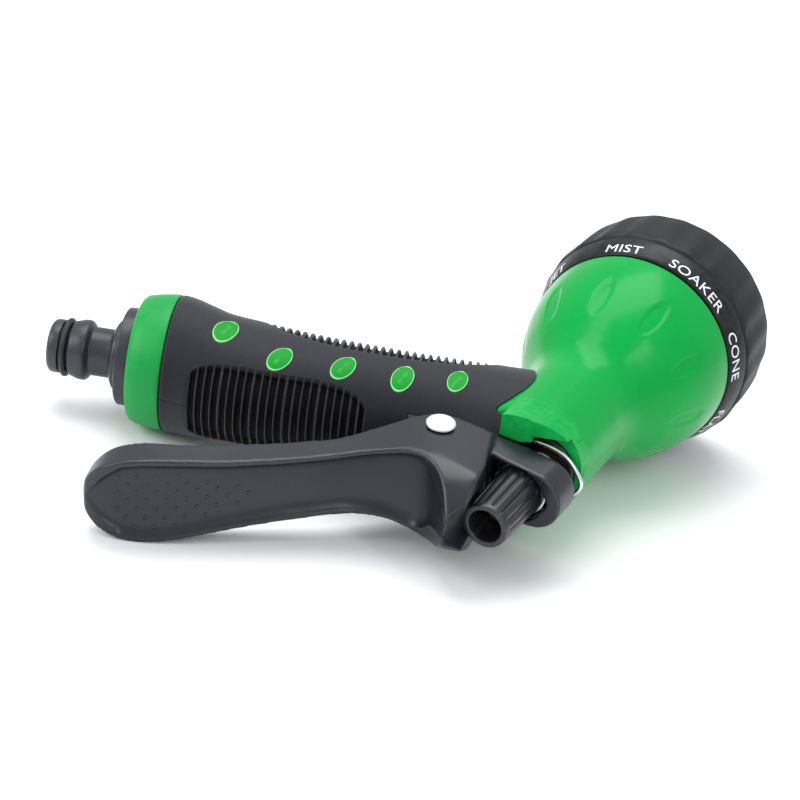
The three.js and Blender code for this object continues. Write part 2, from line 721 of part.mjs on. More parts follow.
function dialGrip() {
  const profile = [
    [28.6, 7.3], [33.2, 7.3], [34.3, 8.2], [34.5, 10.5], [34.4, 17], [33.9, 24], [33.1, 27.6],
    [31.6, DIAL_FRONT], [29.6, DIAL_FRONT], [29.2, 24.8], [28.6, 24.6],
  ];
  const geometry = turned(profile, 48);
  const at = geometry.attributes.position;
  for (let i = 0; i < at.count; i += 1) {
    const r = Math.hypot(at.getX(i), at.getY(i));
    const turn = Math.atan2(at.getY(i), at.getX(i));
    const dip = 0.5 - 0.5 * Math.cos(turn * GRIP_LOBES);
    const depth = r > 33.7 ? LOBE_DEPTH * dip ** 0.7 : 0;
    at.setXY(i, at.getX(i) * (1 - depth / r), at.getY(i) * (1 - depth / r));
  }
  return solid(inHead(geometry));
}

function patternAngle(i) {
  return (i / PATTERNS) * Math.PI * 2;
}

function dialRotor() {
  const disc = solid(inHead(tube(5.4, 28.3, 3.2, 6.8, 30)));
  const sockets = [];
  const ports = [];
  for (let i = 0; i < PATTERNS; i += 1) {
    const a = patternAngle(i);
    const [x, y] = [PORT_RADIUS * Math.cos(a), PORT_RADIUS * Math.sin(a)];
    sockets.push(solid(inHead(rod(4.7, 6, 20.4, 10).translate(x, y, 0))));
    ports.push(solid(inHead(rod(3.2, 0, 24, 8).translate(x, y, 0))));
  }
  return cut(union(disc, ...sockets), ...ports);
}

function facePlate() {
  const plate = solid(inHead(tube(6.3, 28.2, 20.8, 24.2, 30)));
  const cuts = [];
  for (let i = 0; i < PATTERNS; i += 1) {
    const a = patternAngle(i);
    const [x, y] = [PORT_RADIUS * Math.cos(a), PORT_RADIUS * Math.sin(a)];
    cuts.push(solid(inHead(rod(4.2, 18, 26, 12).translate(x, y, 0))));
  }
  for (let i = 0; i < 8; i += 1) {
    const a = ((i + 0.5) / 8) * Math.PI * 2;
    cuts.push(solid(inHead(rod(0.7, 18, 26, 4).translate(24.6 * Math.cos(a), 24.6 * Math.sin(a), 0))));
  }
  return cut(plate, ...cuts);
}

const INSERTS = ['mist', 'soaker', 'cone', 'jet', 'flat', 'shower', 'centre', 'angle'];

// One outlet insert: a flanged plug with the openings of its pattern.
function insert(kind, index) {
  const a = patternAngle(index);
  const plug = solid(turned([
    [0, 20.9], [3.9, 20.9], [3.9, 24.5], [3.4, 25.4], [0, 25.6],
  ], 16));
  const holes = {
    mist: [[0, 0, 0.35]],
    soaker: [[0, 0, 2.3]],
    cone: [[0, 0, 0.9]],
    jet: [[0, 0, 1.5]],
    flat: [],
    shower: [[0, 0, 0.4], [1.9, 0, 0.4], [-1.9, 0, 0.4], [0, 1.9, 0.4], [0, -1.9, 0.4],
      [1.35, 1.35, 0.4], [-1.35, 1.35, 0.4], [1.35, -1.35, 0.4], [-1.35, -1.35, 0.4]],
    centre: [[0, 0, 0.5], [1.5, 0, 0.5], [-0.75, 1.3, 0.5], [-0.75, -1.3, 0.5]],
    angle: [],
  };
  let shaped = plug;
  for (const [x, y, r] of holes[kind]) {
    shaped = shaped.subtract(solid(rod(r, 18, 28, 6).translate(x, y, 0)));
  }
  if (kind === 'flat' || kind === 'angle') {
    const turn = kind === 'flat' ? 0 : Math.PI / 4;
    shaped = shaped.subtract(solid(box(-2.6, 2.6, -0.5, 0.5, 18, 28).rotateZ(turn)));
  }
  const placed = toGeometry(shaped);
  placed.translate(PORT_RADIUS * Math.cos(a), PORT_RADIUS * Math.sin(a), 0);
  return solid(inHead(placed));
}

function dialWasher() {
  return solid(inHead(tube(2.2, 5.2, 15.2, 16.2, 20)));
}

function dialScrew() {
  const shaft = rod(1.8, 4, 16.4, 12);
  const head = turned([[0, 16.4], [4.3, 16.4], [4.3, 17.4], [3.4, 18.8], [0, 19.2]], 20);
  const slot = solid(inHead(box(-2.6, 2.6, -0.4, 0.4, 18, 20)));
  return cut(union(solid(inHead(shaft)), solid(inHead(head))), slot);
}

function dialCap() {
  return solid(inHead(turned([
    [0, 22.0], [6.0, 22.0], [6.0, 24.6], [5.2, 25.6], [0, 26.2],
  ], 24)));
}

// ---- assembly ---------------------------------------------------------

const group = new THREE.Group();
const pieces = [];

function add(name, shape, color, roughness, metalness = 0) {
  const material = new THREE.MeshStandardMaterial({ color, roughness, metalness });
  material.name = name;
  pieces.push({ name, geometry: toGeometry(shape), material });
}

add('body_shell', body(), GREEN, 0.25);
add('handle_end_ring', endRing(), GREEN_RING, 0.35);
add('grip_sleeve', gripSleeve(), RUBBER, 0.75);
LEAVES.forEach((leaf, i) => {
  add(`leaf_inset_l${i + 1}`, leafInset(leaf, 1), LEAF_GREEN, 0.5);
  add(`leaf_inset_r${i + 1}`, leafInset(leaf, -1), LEAF_GREEN, 0.5);
});
add('hose_coupling', hoseCoupling(), BLACK, 0.4);
add('coupling_o_ring', couplingOring(), SEAL, 0.7);
add('coupling_washer', couplingWasher(), SEAL, 0.8);
add('inlet_filter', inletFilter(), ACETAL, 0.5);
add('lever', lever(), BLACK, 0.45);
add('pivot_pin', pivotPin(), STEEL, 0.3, 0.9);
add('pivot_pin_cap', pinCap(), STEEL, 0.35, 0.9);
add('lock_wire', lockWire(), STEEL, 0.25, 1);
add('valve_stem', valveStem(), BRASS, 0.35, 0.9);
add('valve_plunger', valvePlunger(), BRASS, 0.4, 0.8);
add('plunger_seal', plungerSeal(), SEAL, 0.8);
add('valve_seat', valveSeat(), ACETAL, 0.5);
add('return_spring', returnSpring(), STEEL, 0.3, 1);
add('gland_nut', glandNut(), BLACK, 0.5);
add('stem_o_ring', stemOring(), SEAL, 0.8);
add('gland_collar', glandCollar(), ACETAL, 0.5);
add('thrust_washer', thrustWasher(), STEEL, 0.2, 1);
add('flow_knob', flowKnob(), BLACK, 0.4);
add('outlet_seal', outletSeal(), SEAL, 0.8);
add('detent_ball', detentBall(), STEEL, 0.2, 1);
add('detent_spring', detentSpring(), STEEL, 0.3, 1);
add('dial_label_ring', labelRing(), BLACK, 0.4);
add('dial_grip', dialGrip(), RUBBER, 0.6);
add('dial_rotor', dialRotor(), BLACK, 0.5);
add('dial_face_plate', facePlate(), BLACK, 0.45);
INSERTS.forEach((kind, i) => {
  add(`insert_${kind}`, insert(kind, i), GREEN, 0.4);
});
add('dial_washer', dialWasher(), ACETAL, 0.5);
add('dial_screw', dialScrew(), STEEL, 0.3, 1);
add('dial_cap', dialCap(), GREEN, 0.35);

// Resting pose, then bottom centre of the whole to the origin.
const rest = new THREE.Matrix4().makeRotationY(radians(REST_PITCH));
rest.multiply(new THREE.Matrix4().makeRotationX(radians(REST_ROLL)));
const bounds = new THREE.Box3();
for (const { geometry } of pieces) {
  geometry.applyMatrix4(rest);
  geometry.computeBoundingBox();
  bounds.union(geometry.boundingBox);
}
const middle = bounds.getCenter(new THREE.Vector3());

for (const { name, geometry, material } of pieces) {
  geometry.translate(-middle.x, -middle.y, -bounds.min.z);
  geometry.computeVertexNormals();
  const mesh = new THREE.Mesh(geometry, material);
  mesh.name = name;
  group.add(mesh);
}

export default group;
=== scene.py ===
import json
import math

import bmesh
import bpy
from mathutils import Matrix, Vector
from mathutils.bvhtree import BVHTree


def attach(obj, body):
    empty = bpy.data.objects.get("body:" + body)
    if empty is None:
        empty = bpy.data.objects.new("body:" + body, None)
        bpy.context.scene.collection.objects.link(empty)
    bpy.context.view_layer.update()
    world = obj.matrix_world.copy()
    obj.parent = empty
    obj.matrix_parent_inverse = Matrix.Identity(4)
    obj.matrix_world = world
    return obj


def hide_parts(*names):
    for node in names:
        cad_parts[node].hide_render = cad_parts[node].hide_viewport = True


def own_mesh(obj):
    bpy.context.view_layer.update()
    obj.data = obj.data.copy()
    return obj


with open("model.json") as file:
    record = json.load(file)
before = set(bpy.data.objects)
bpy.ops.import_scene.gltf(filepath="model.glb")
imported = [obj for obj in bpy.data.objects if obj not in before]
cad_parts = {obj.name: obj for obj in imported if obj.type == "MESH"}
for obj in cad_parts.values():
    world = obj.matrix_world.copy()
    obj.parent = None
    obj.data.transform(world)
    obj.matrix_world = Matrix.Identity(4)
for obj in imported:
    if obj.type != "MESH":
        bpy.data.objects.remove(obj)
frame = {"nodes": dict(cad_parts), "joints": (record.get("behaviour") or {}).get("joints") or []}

scene = bpy.context.scene
link = scene.collection.objects.link
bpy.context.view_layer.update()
print("frame:", len(frame["nodes"]), "CAD pieces")

# Places: the handle frame and the head frame are both in millimetres. The handle
# frame has x along the handle and y toward the spray, the head frame has z along
# the spray and x away from the hose.
mm = 0.001
headAngle = math.radians(68.7)
headAt = (128.9, 44.9)          # bell mouth in the handle frame
dialMiddle = 15                 # the dial joint's place along the spray

joints = {joint["name"]: joint for joint in frame["joints"]}
spray = Vector(joints["dial_turn"]["axis"]).normalized()
pivotAxis = Vector(joints["lever_pivot"]["axis"]).normalized()
headSide = pivotAxis.cross(spray).normalized()
headOrigin = Vector(joints["dial_turn"]["pos_m"]) - spray * dialMiddle * mm
along = spray * math.cos(headAngle) + headSide * math.sin(headAngle)
upward = spray * math.sin(headAngle) - headSide * math.cos(headAngle)
handleOrigin = headOrigin - mm * (along * headAt[0] + upward * headAt[1])


def placeOf(x, y, z, origin):
    turn = Matrix((x, y, z)).transposed() * mm
    return Matrix.Translation(origin) @ turn.to_4x4()


def onCircle(radius, angle, x=0, y=0):
    return x + radius * math.cos(angle), y + radius * math.sin(angle)


def shift(x, y=0, z=0):
    return Matrix.Translation((x, y, z))


def turnAbout(axis, degrees):
    return Matrix.Rotation(math.radians(degrees), 4, axis)


headPlace = placeOf(headSide, pivotAxis, spray, headOrigin)
handlePlace = placeOf(along, upward, -pivotAxis, handleOrigin)
headInHandle = handlePlace.inverted() @ headPlace
upOnX = turnAbout("Y", 90)       # shapes drawn about z, laid along x


# Shader values

class Flow:                     # one shader socket, whose sums become Math nodes
    def __init__(self, tree, socket=None):
        self.tree, self.socket = tree, socket

    def node(self, kind, settings, inputs, output=0):
        made = self.tree.nodes.new(kind)
        for key, value in settings.items():
            if key == "stops":
                ramp = made.color_ramp.elements
                while len(ramp) < len(value):
                    ramp.new(0.5)
                for stop, (at, shade) in zip(ramp, value):
                    stop.position, stop.color = at, (shade, shade, shade, 1)
            else:
                setattr(made, key, value)
        for key, value in inputs.items():
            if isinstance(value, Flow):
                self.tree.links.new(value.socket, made.inputs[key])
            else:
                made.inputs[key].default_value = value
        return Flow(self.tree, made.outputs[output] if made.outputs else None)

    def maths(self, operation, *values):
        return self.node("ShaderNodeMath", {"operation": operation}, dict(enumerate(values)))

    def __add__(self, other):
        return self.maths("ADD", self, other)

    __radd__ = __add__

    def __mul__(self, other):
        return self.maths("MULTIPLY", self, other)

    __rmul__ = __mul__

    def __sub__(self, other):
        return self.maths("SUBTRACT", self, other)

    def __rsub__(self, other):
        return self.maths("SUBTRACT", other, self)

    def noise(self, scale, detail=3.0, rough=0.55):
        values = {"Vector": self, "Scale": scale, "Detail": detail, "Roughness": rough}
        return self.node("ShaderNodeTexNoise", {}, values, "Fac")

    def ramp(self, *stops):
        return self.node("ShaderNodeValToRGB", {"stops": stops}, {"Fac": self}, "Color")

    def mixed(self, low, high):                       # colours, by this factor
        colours = {"Factor": self, 6: low, 7: high}   # 6, 7 and 2 are its colour sockets
        return self.node("ShaderNodeMix", {"data_type": "RGBA"}, colours, 2)


def linear(red, green, blue):                         # screen colour, 0 to 255
    def one(value):
        value /= 255
        return value / 12.92 if value <= 0.04045 else ((value + 0.055) / 1.055) ** 2.4
    return (one(red), one(green), one(blue), 1)


# What each finish looks like. Scales are per millimetre, depths are millimetres.
plain = {
    "shade": 0.82,              # darkest patches, as a share of the colour
    "patch": 0.06,              # size of the broad colour patches
    "rough": (0.4, 0.5),
    "grain": 2.2,
    "grainDepth": 0.012,
    "ripple": 0.25,             # long soft waves left by the mould
    "rippleDepth": 0.0,
    "scuff": 0.35,              # how much rubbed streaks change the gloss
    "wear": 0.25,               # how pale the edges have worn
    "wearColour": (150, 150, 155),
    "metal": 0.0,
    "coat": 0.0,
    "sheen": 0.0,
    "specular": 0.5,
}
finishes = {
    "shellGreen": {"colour": (0, 158, 66), "rough": (0.18, 0.28), "grain": 1.1, "grainDepth": 0.004,
                   "rippleDepth": 0.03, "coat": 0.06, "specular": 0.14, "shade": 0.9,
                   "wear": 0.12, "wearColour": (90, 225, 140), "scuff": 0.12},
    "ringGreen": {"colour": (10, 150, 66), "rough": (0.34, 0.44), "grain": 2.6, "grainDepth": 0.01,
                  "specular": 0.25, "shade": 0.9, "wear": 0.2, "wearColour": (130, 225, 130)},
    "leafGreen": {"colour": (10, 146, 42), "rough": (0.42, 0.52), "grain": 3.0,
                  "specular": 0.15, "shade": 0.88, "wear": 0.15, "wearColour": (140, 225, 130)},
    "leafEdge": {"colour": (128, 214, 128), "grain": 3.0, "grainDepth": 0.01,
                 "wear": 0.2, "wearColour": (190, 235, 180)},
    "gripRubber": {"colour": (27, 28, 37), "rough": (0.5, 0.62), "grain": 3.4, "grainDepth": 0.03,
                   "specular": 0.22, "shade": 0.8, "wear": 0.2, "wearColour": (96, 94, 98),
                   "sheen": 0.15},
    # painted shade: a near-black rubber for the groove bottoms, standing in for the shade inside the
    # grooves
    "paintedGrooveShade": {"colour": (12, 12, 14), "rough": (0.7, 0.8), "grain": 3.4, "grainDepth": 0.02,
                     "specular": 0.2, "shade": 0.7, "wear": 0.0},
    "leverBlack": {"colour": (28, 30, 40), "rough": (0.27, 0.36), "grain": 2.8, "grainDepth": 0.008,
                   "rippleDepth": 0.015, "wear": 0.22, "wearColour": (92, 94, 102)},
    "knobBlack": {"colour": (30, 31, 36), "rough": (0.26, 0.36), "grain": 2.4, "grainDepth": 0.008,
                  "wear": 0.3, "wearColour": (100, 102, 110)},
    "tailBlack": {"colour": (40, 41, 50), "rough": (0.3, 0.42), "grain": 2.4, "grainDepth": 0.01,
                  "wear": 0.3, "wearColour": (110, 112, 118)},
    "dialBlack": {"colour": (23, 24, 31), "rough": (0.44, 0.56), "grain": 2.6, "grainDepth": 0.018,
                  "specular": 0.28, "wear": 0.22, "wearColour": (92, 92, 98)},
    "labelBlack": {"colour": (6, 7, 9), "rough": (0.3, 0.4), "grain": 2.0, "grainDepth": 0.006,
                   "specular": 0.25, "wear": 0.15},
    "printWhite": {"colour": (236, 238, 240), "rough": (0.5, 0.6), "grain": 4.0,
                   "grainDepth": 0.01, "shade": 0.86, "wear": 0.0},
    "sealRubber": {"colour": (18, 18, 20), "rough": (0.42, 0.55), "grain": 3.0, "grainDepth": 0.02,
                   "wear": 0.1, "wearColour": (60, 60, 64)},
    "brightSteel": {"colour": (226, 228, 230), "rough": (0.16, 0.3), "grain": 5.0,
                    "grainDepth": 0.004, "shade": 0.9, "wear": 0.2, "wearColour": (250, 250, 250),
                    "metal": 1.0},
    # steel pin with a painted highlight: its overexposed glare is given as a near-white base colour
    "pinSteelPaintedGlare": {"colour": (250, 250, 250), "rough": (0.34, 0.46), "grain": 4.0,
                 "grainDepth": 0.005, "shade": 0.95, "wear": 0.1, "wearColour": (255, 255, 255),
                 "metal": 0.55},
    "turnedBrass": {"colour": (206, 168, 92), "rough": (0.24, 0.38), "grain": 5.0,
                    "grainDepth": 0.004, "wear": 0.2, "wearColour": (240, 214, 150), "metal": 1.0},
    "whiteAcetal": {"colour": (226, 222, 210), "rough": (0.36, 0.48), "grain": 2.4,
                    "grainDepth": 0.01, "shade": 0.92, "wear": 0.1, "wearColour": (240, 238, 230)},
}


def blankMaterial(name):
    material = bpy.data.materials.new(name)
    material.use_nodes = True
    material.node_tree.nodes.clear()
    return material, Flow(material.node_tree)


def surface(name):
    look = {**plain, **finishes[name]}
    material, start = blankMaterial(name)
    place = start.node("ShaderNodeTexCoord", {}, {}, "Object")
    inMm = start.node("ShaderNodeMapping", {}, {"Vector": place, "Scale": (1000, 1000, 1000)})
    stretched = start.node("ShaderNodeMapping", {}, {"Vector": inMm, "Scale": (1, 0.12, 0.5),
                                                     "Rotation": (0.4, 0.2, 0.7)})
    colour = linear(*look["colour"])
    dark = tuple(channel * look["shade"] for channel in colour[:3]) + (1,)
    patches = inMm.noise(look["patch"], 4.0).ramp((0.32, 0), (0.68, 1))
    speckle = inMm.noise(look["grain"] * 0.45, 2.0).ramp((0.35, 0), (0.65, 1))
    base = (patches * 0.7 + speckle * 0.3).mixed(dark, colour)
    rubbed = stretched.noise(1.4, 5.0, 0.7).ramp((0.45, 0), (0.72, 1))
    bend = start.node("ShaderNodeNewGeometry", {}, {}, "Pointiness")
    edges = bend.ramp((0.51, 0), (0.56, 1)) * inMm.noise(0.5, 4.0).ramp((0.35, 0.2), (0.6, 1))
    worn = (edges * look["wear"]).mixed(base, linear(*look["wearColour"]))
    low, high = look["rough"]
    dull = patches * 0.5 + rubbed * look["scuff"] + speckle * 0.3
    rough = low + (high - low) * dull - edges * 0.05  # worn edges shine a little
    height = inMm.noise(look["grain"], 3.0, 0.6) * look["grainDepth"]
    if look["rippleDepth"]:
        height = height + inMm.noise(look["ripple"], 1.0) * look["rippleDepth"]
    bump = start.node("ShaderNodeBump", {}, {"Strength": 1.0, "Distance": mm, "Height": height})
    shader = start.node("ShaderNodeBsdfPrincipled", {}, {
        "Base Color": worn, "Roughness": rough, "Normal": bump, "Metallic": look["metal"],
        "Coat Weight": look["coat"], "Coat Roughness": 0.12, "Sheen Weight": look["sheen"],
        "Specular IOR Level": look["specular"],
    })
    start.node("ShaderNodeOutputMaterial", {}, {"Surface": shader})
    return material


paints = {name: surface(name) for name in finishes}
print("finishes:", len(paints))


# Mesh making, all in millimetres until a piece is settled in its place

def meshObject(name, points, faces, at=None):
    mesh = bpy.data.meshes.new(name)
    mesh.from_pydata([tuple(point) for point in points], [], faces)
    work = bmesh.new()
    work.from_mesh(mesh)
    bmesh.ops.remove_doubles(work, verts=work.verts, dist=0.0005)
    bmesh.ops.recalc_face_normals(work, faces=work.faces)
    work.to_mesh(mesh)
    work.free()
    if at is not None:
        mesh.transform(at)
    thing = bpy.data.objects.new(name, mesh)
    link(thing)
    return thing


def drop(thing):
    mesh = thing.data
    bpy.data.objects.remove(thing)
    bpy.data.meshes.remove(mesh)


def finalMesh(thing):                                  # with its modifiers carried out
    bpy.context.view_layer.update()
    seen = thing.evaluated_get(bpy.context.evaluated_depsgraph_get())
    return bpy.data.meshes.new_from_object(seen)


def baked(thing):
    mesh = finalMesh(thing)
    thing.modifiers.clear()
    old = thing.data
    thing.data = mesh
    bpy.data.meshes.remove(old)
    return thing


def joined(operation, base, *tools):
    for tool in tools:
        step = base.modifiers.new(tool.name, "BOOLEAN")
        step.operation, step.solver, step.object = operation, "MANIFOLD", tool
    baked(base)
    for tool in tools:
        drop(tool)
    return base


def added(base, *tools):
    return joined("UNION", base, *tools)


def cut(base, *tools):
    return joined("DIFFERENCE", base, *tools)


def kept(base, *tools):
    return joined("INTERSECT", base, *tools)


def softened(thing, voxel, passes, deeper=None, deeperPasses=0):
    melt = thing.modifiers.new("melt", "REMESH")
    melt.mode, melt.voxel_size = "VOXEL", voxel
    calm = thing.modifiers.new("calm", "SMOOTH")
    calm.factor, calm.iterations = 0.5, passes
    baked(thing)
    if deeper:
        group = thing.vertex_groups.new(name="deeper")
        for vertex in thing.data.vertices:
            share = deeper(vertex.co)
            if share > 0:
                group.add([vertex.index], share, "REPLACE")
        calm = thing.modifiers.new("calmer", "SMOOTH")
        calm.factor, calm.iterations, calm.vertex_group = 0.5, deeperPasses, group.name
        baked(thing)
        thing.vertex_groups.clear()
    return thing


def painted(thing, main, second=None, isSecond=None):  # the second finish on chosen faces
    thing.data.materials.clear()
    thing.data.materials.append(paints[main])
    if second:
        thing.data.materials.append(paints[second])
        for face in thing.data.polygons:
            face.material_index = 1 if isSecond(face.center) else 0


def settle(thing, place, finish, body, slot, *replaced, crease=40):
    thing.data.transform(place)
    if finish:                                         # otherwise it is painted already
        painted(thing, finish)
    thing.data.shade_smooth()
    thing.data.set_sharp_from_angle(angle=math.radians(crease))
    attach(thing, body)
    if replaced:
        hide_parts(*replaced)
    return thing


def stepUp(low, high, value):                          # 0 below low, 1 above high
    t = min(max((value - low) / (high - low), 0), 1)
    return t * t * (3 - 2 * t)


def smoothCurve(points, steps):                        # through every point
    knots = [Vector(point) for point in points]
    knots = [2 * knots[0] - knots[1], *knots, 2 * knots[-1] - knots[-2]]
    curve = []
    for p0, p1, p2, p3 in zip(knots, knots[1:], knots[2:], knots[3:]):
        t1 = (p1 - p0).length ** 0.5
        t2 = t1 + (p2 - p1).length ** 0.5
        t3 = t2 + (p3 - p2).length ** 0.5
        for step in range(steps):
            t = t1 + (t2 - t1) * step / steps
            a1 = p0 * ((t1 - t) / t1) + p1 * (t / t1)
            a2 = p1 * ((t2 - t) / (t2 - t1)) + p2 * ((t - t1) / (t2 - t1))
            a3 = p2 * ((t3 - t) / (t3 - t2)) + p3 * ((t - t2) / (t3 - t2))
            b1 = a1 * ((t2 - t) / t2) + a2 * (t / t2)
            b2 = a2 * ((t3 - t) / (t3 - t1)) + a3 * ((t - t1) / (t3 - t1))
            curve.append(b1 * ((t2 - t) / (t2 - t1)) + b2 * ((t - t1) / (t2 - t1)))
    return [*curve, knots[-2]]


def rounded(profile, radius, closed=False, steps=4):   # corners of an outline eased
    soft = []
    count = len(profile)
    for i, corner in enumerate(profile):
        here = Vector(corner)
        before = Vector(profile[i - 1]) - here
        after = Vector(profile[(i + 1) % count]) - here
        isEnd = not closed and i in (0, count - 1)
        if isEnd or before.angle(after) > math.radians(158):
            soft.append(tuple(here))
            continue
        reach = min(radius, before.length * 0.45, after.length * 0.45)
        first, last = here + before.normalized() * reach, here + after.normalized() * reach
        for step in range(steps + 1):
            t = step / steps
            soft.append(tuple(first * (1 - t) ** 2 + here * 2 * t * (1 - t) + last * t * t))
    return soft


def endCaps(rows, columns):
    return [tuple(range(columns)), tuple(range((rows - 1) * columns, rows * columns))]


def gridFaces(rows, columns, rowsClose, columnsClose):
    faces = []
    for r in range(rows if rowsClose else rows - 1):
        for c in range(columns if columnsClose else columns - 1):
            nextRow, nextColumn = (r + 1) % rows, (c + 1) % columns
            faces.append((r * columns + c, r * columns + nextColumn,
                          nextRow * columns + nextColumn, nextRow * columns + c))
    return faces


def turned(name, profile, steps=128, shape=None, at=None):
    onAxis = profile[0][0] < 1e-6 and profile[-1][0] < 1e-6
    points = []
    for k in range(steps):
        angle = 2 * math.pi * k / steps
        for radius, z in profile:
            r = shape(radius, z, angle) if shape else radius
            points.append((*onCircle(r, angle), z))
    faces = gridFaces(steps, len(profile), True, not onAxis)
    return meshObject(name, points, faces, at)


def rod(name, radius, z0, z1, steps=64, at=None):
    return turned(name, [(0, z0), (radius, z0), (radius, z1), (0, z1)], steps, None, at)


def prism(name, outline, z0, z1, at=None):
    count = len(outline)
    points = [(x, y, z) for z in (z0, z1) for x, y in outline]
    faces = [tuple(range(count)), tuple(range(count, 2 * count))]
    faces += [(i, (i + 1) % count, count + (i + 1) % count, count + i) for i in range(count)]
    return meshObject(name, points, faces, at)


def block(name, x0, x1, y0, y1, z0, z1, at=None):
    return prism(name, [(x0, y0), (x1, y0), (x1, y1), (x0, y1)], z0, z1, at)


def swept(name, path, section, up, sides=16, at=None, closed=False):
    points = []
    count = len(path)
    for k, spot in enumerate(path):
        before = path[(k - 1) % count] if closed else path[max(k - 1, 0)]
        after = path[(k + 1) % count] if closed else path[min(k + 1, count - 1)]
        ahead = (after - before).normalized()
        side = ahead.cross(Vector(up)).normalized()
        rise = side.cross(ahead).normalized()
        across, lift = section(k / (count - 1))
        for s in range(sides):
            angle = 2 * math.pi * s / sides
            points.append(spot + side * across * math.cos(angle) + rise * lift * math.sin(angle))
    faces = gridFaces(count, sides, closed, True)
    if not closed:
        faces += endCaps(count, sides)
    return meshObject(name, points, faces, at)


def coil(name, radius, wire, z0, z1, turns, at=None):
    steps = round(turns * 32)
    path = []
    for i in range(steps + 1):
        t = i / steps
        # the last three quarters of a turn at each end lie flat
        lift = stepUp(0, 1, t) * 0.35 + t * 0.65
        angle = t * turns * 2 * math.pi
        z = z0 + wire + lift * (z1 - z0 - 2 * wire)
        path.append(Vector((*onCircle(radius, angle), z)))
    return swept(name, path, lambda t: (wire, wire), (0, 0, 1), 10, at)


# Handle: its form, the rubber sleeve and the leaf insets

handle = {
    "stations": [               # x, middle y, half depth, half width
        (-10.5, 0, 19.2, 19.2), (0, 0, 19.6, 19.6), (4, -0.5, 19.6, 19.3), (9, -1.8, 19.5, 18.4),
        (15, -3.1, 19.3, 17.3), (28, -4.0, 19.4, 16.4), (42, -4.0, 18.2, 15.5),
        (64, -3.8, 17.2, 14.8), (82, -4.6, 18.2, 14.8), (94, -6.2, 20.0, 15.0),
        (112, -7.0, 21.0, 15.2),
    ],
    "wall": 2.6,
    "slip": 0.3,                # room between pieces that touch
    "sleeveFace": -7.4,         # head x of the plane that ends the sleeve
}
ribs = {
    # middle and half are along x; faces, least and most are degrees round the handle
    "rear": {"start": 9.3, "pitch": 2.25, "count": 22, "width": 1.55, "depth": 1.5,
             "middle": 32.4, "half": 25.0, "faces": 90, "least": 20, "most": 46, "power": 4},
    "front": {"start": 23.6, "pitch": 2.25, "count": 31, "width": 1.25, "depth": 1.35,
              "middle": 57.3, "half": 35.4, "faces": -90, "least": 42, "most": 88, "power": 2.6},
}
paintedShadeDepth = 0.62               # depth from which a groove's bottom gets painted shade
leaves = {
    "places": [                 # x, angle from the top toward the lever, turn, half length
        (15.5, 9, 74, 5.2), (32.0, 26, 60, 4.7), (49.5, 24, 60, 4.7), (66.0, 25, 76, 4.8),
        (81.0, 16, 78, 4.4),
    ],
    "waist": 0.66,
    "crown": [                  # share of the outline, height above the sleeve
        (0.0, 0.30), (0.3, 0.29), (0.55, 0.27), (0.72, 0.24), (0.84, 0.2), (0.88, 0.18),
        (0.9, 0.21), (0.93, 0.28), (0.965, 0.28), (0.99, 0.22), (1.0, 0.08), (1.0, -1.9),
    ],
    "rimFrom": 0.86,            # the pale rim, from this share outward
    "rimFoot": -0.9,            # and above this height
}


def station(x):
    table = handle["stations"]
    i = 0
    while i < len(table) - 2 and x > table[i + 1][0]:
        i += 1
    p, a, b, n = table[max(i - 1, 0)], table[i], table[i + 1], table[min(i + 2, len(table) - 1)]
    span = b[0] - a[0]
    t = min(max((x - a[0]) / span, 0), 1)
    values = []
    for k in (1, 2, 3):
        slopeA = 0 if b[0] == p[0] else (b[k] - p[k]) / (b[0] - p[0]) * span
        slopeB = 0 if n[0] == a[0] else (n[k] - a[k]) / (n[0] - a[0]) * span
        values.append((2 * t**3 - 3 * t**2 + 1) * a[k] + (t**3 - 2 * t**2 + t) * slopeA
                      + (3 * t**2 - 2 * t**3) * b[k] + (t**3 - t**2) * slopeB)
    return values


def skinPoint(x, degrees, lift=0.0):                   # degrees from +z toward the lever
    middle, depth, width = station(x)
    angle = math.radians(degrees)
    return Vector((x, middle - math.sin(angle) * (depth + lift), math.cos(angle) * (width + lift)))


def handleForm(name, x0, x1, offset, around=96, rows=80, relief=None):
    points = []
    for r in range(rows + 1):
        x = x0 + (x1 - x0) * r / rows
        for c in range(around):
            degrees = 360 * c / around
            dip = relief(x, degrees) if relief else 0
            points.append(skinPoint(x, degrees, offset - dip))
    faces = gridFaces(rows + 1, around, False, True) + endCaps(rows + 1, around)
    return meshObject(name, points, faces)


def ribDip(x, degrees, patch):
    u = (x - patch["middle"]) / patch["half"]
    if abs(u) >= 1:
        return 0
    away = abs((degrees - patch["faces"] + 180) % 360 - 180)
    oval = (1 - abs(u) ** patch["power"]) ** 0.5
    reach = patch["least"] + (patch["most"] - patch["least"]) * oval
    inside = stepUp(0, 0.9, min((reach - away) * 0.32, (1 - abs(u)) * patch["half"] * 1.5))
    if inside == 0:
        return 0
    k = min(max(round((x - patch["start"]) / patch["pitch"]), 0), patch["count"] - 1)
    off = abs(x - patch["start"] - k * patch["pitch"])
    half = patch["width"] / 2
    channel = 1 - stepUp(half - 0.32, half + 0.32, off)
    return inside * (0.12 + patch["depth"] * channel)


def sleeveRelief(x, degrees):
    away = abs((degrees - 90) * 0.33)                  # mm from the mould line
    seam = 0.22 * (1 - stepUp(0.1, 0.32, away)) * (1 - stepUp(9.4, 9.8, x))
    lip = 0.5 * (1 - stepUp(0, 0.7, x)) ** 2           # eased edge beside the end ring
    return ribDip(x, degrees, ribs["rear"]) + ribDip(x, degrees, ribs["front"]) + seam + lip


def leafOutline(half, grow=0.0, count=48):
    outline = []
    for i in range(count):
        angle = 2 * math.pi * i / count
        sharp = 1.02 + 0.3 * max(math.cos(angle), 0)   # above 1 draws that end to a point
        pinch = math.copysign(abs(math.sin(angle)) ** sharp, math.sin(angle))
        outline.append(((half + grow) * math.cos(angle), (half * leaves["waist"] + grow) * pinch))
    return outline


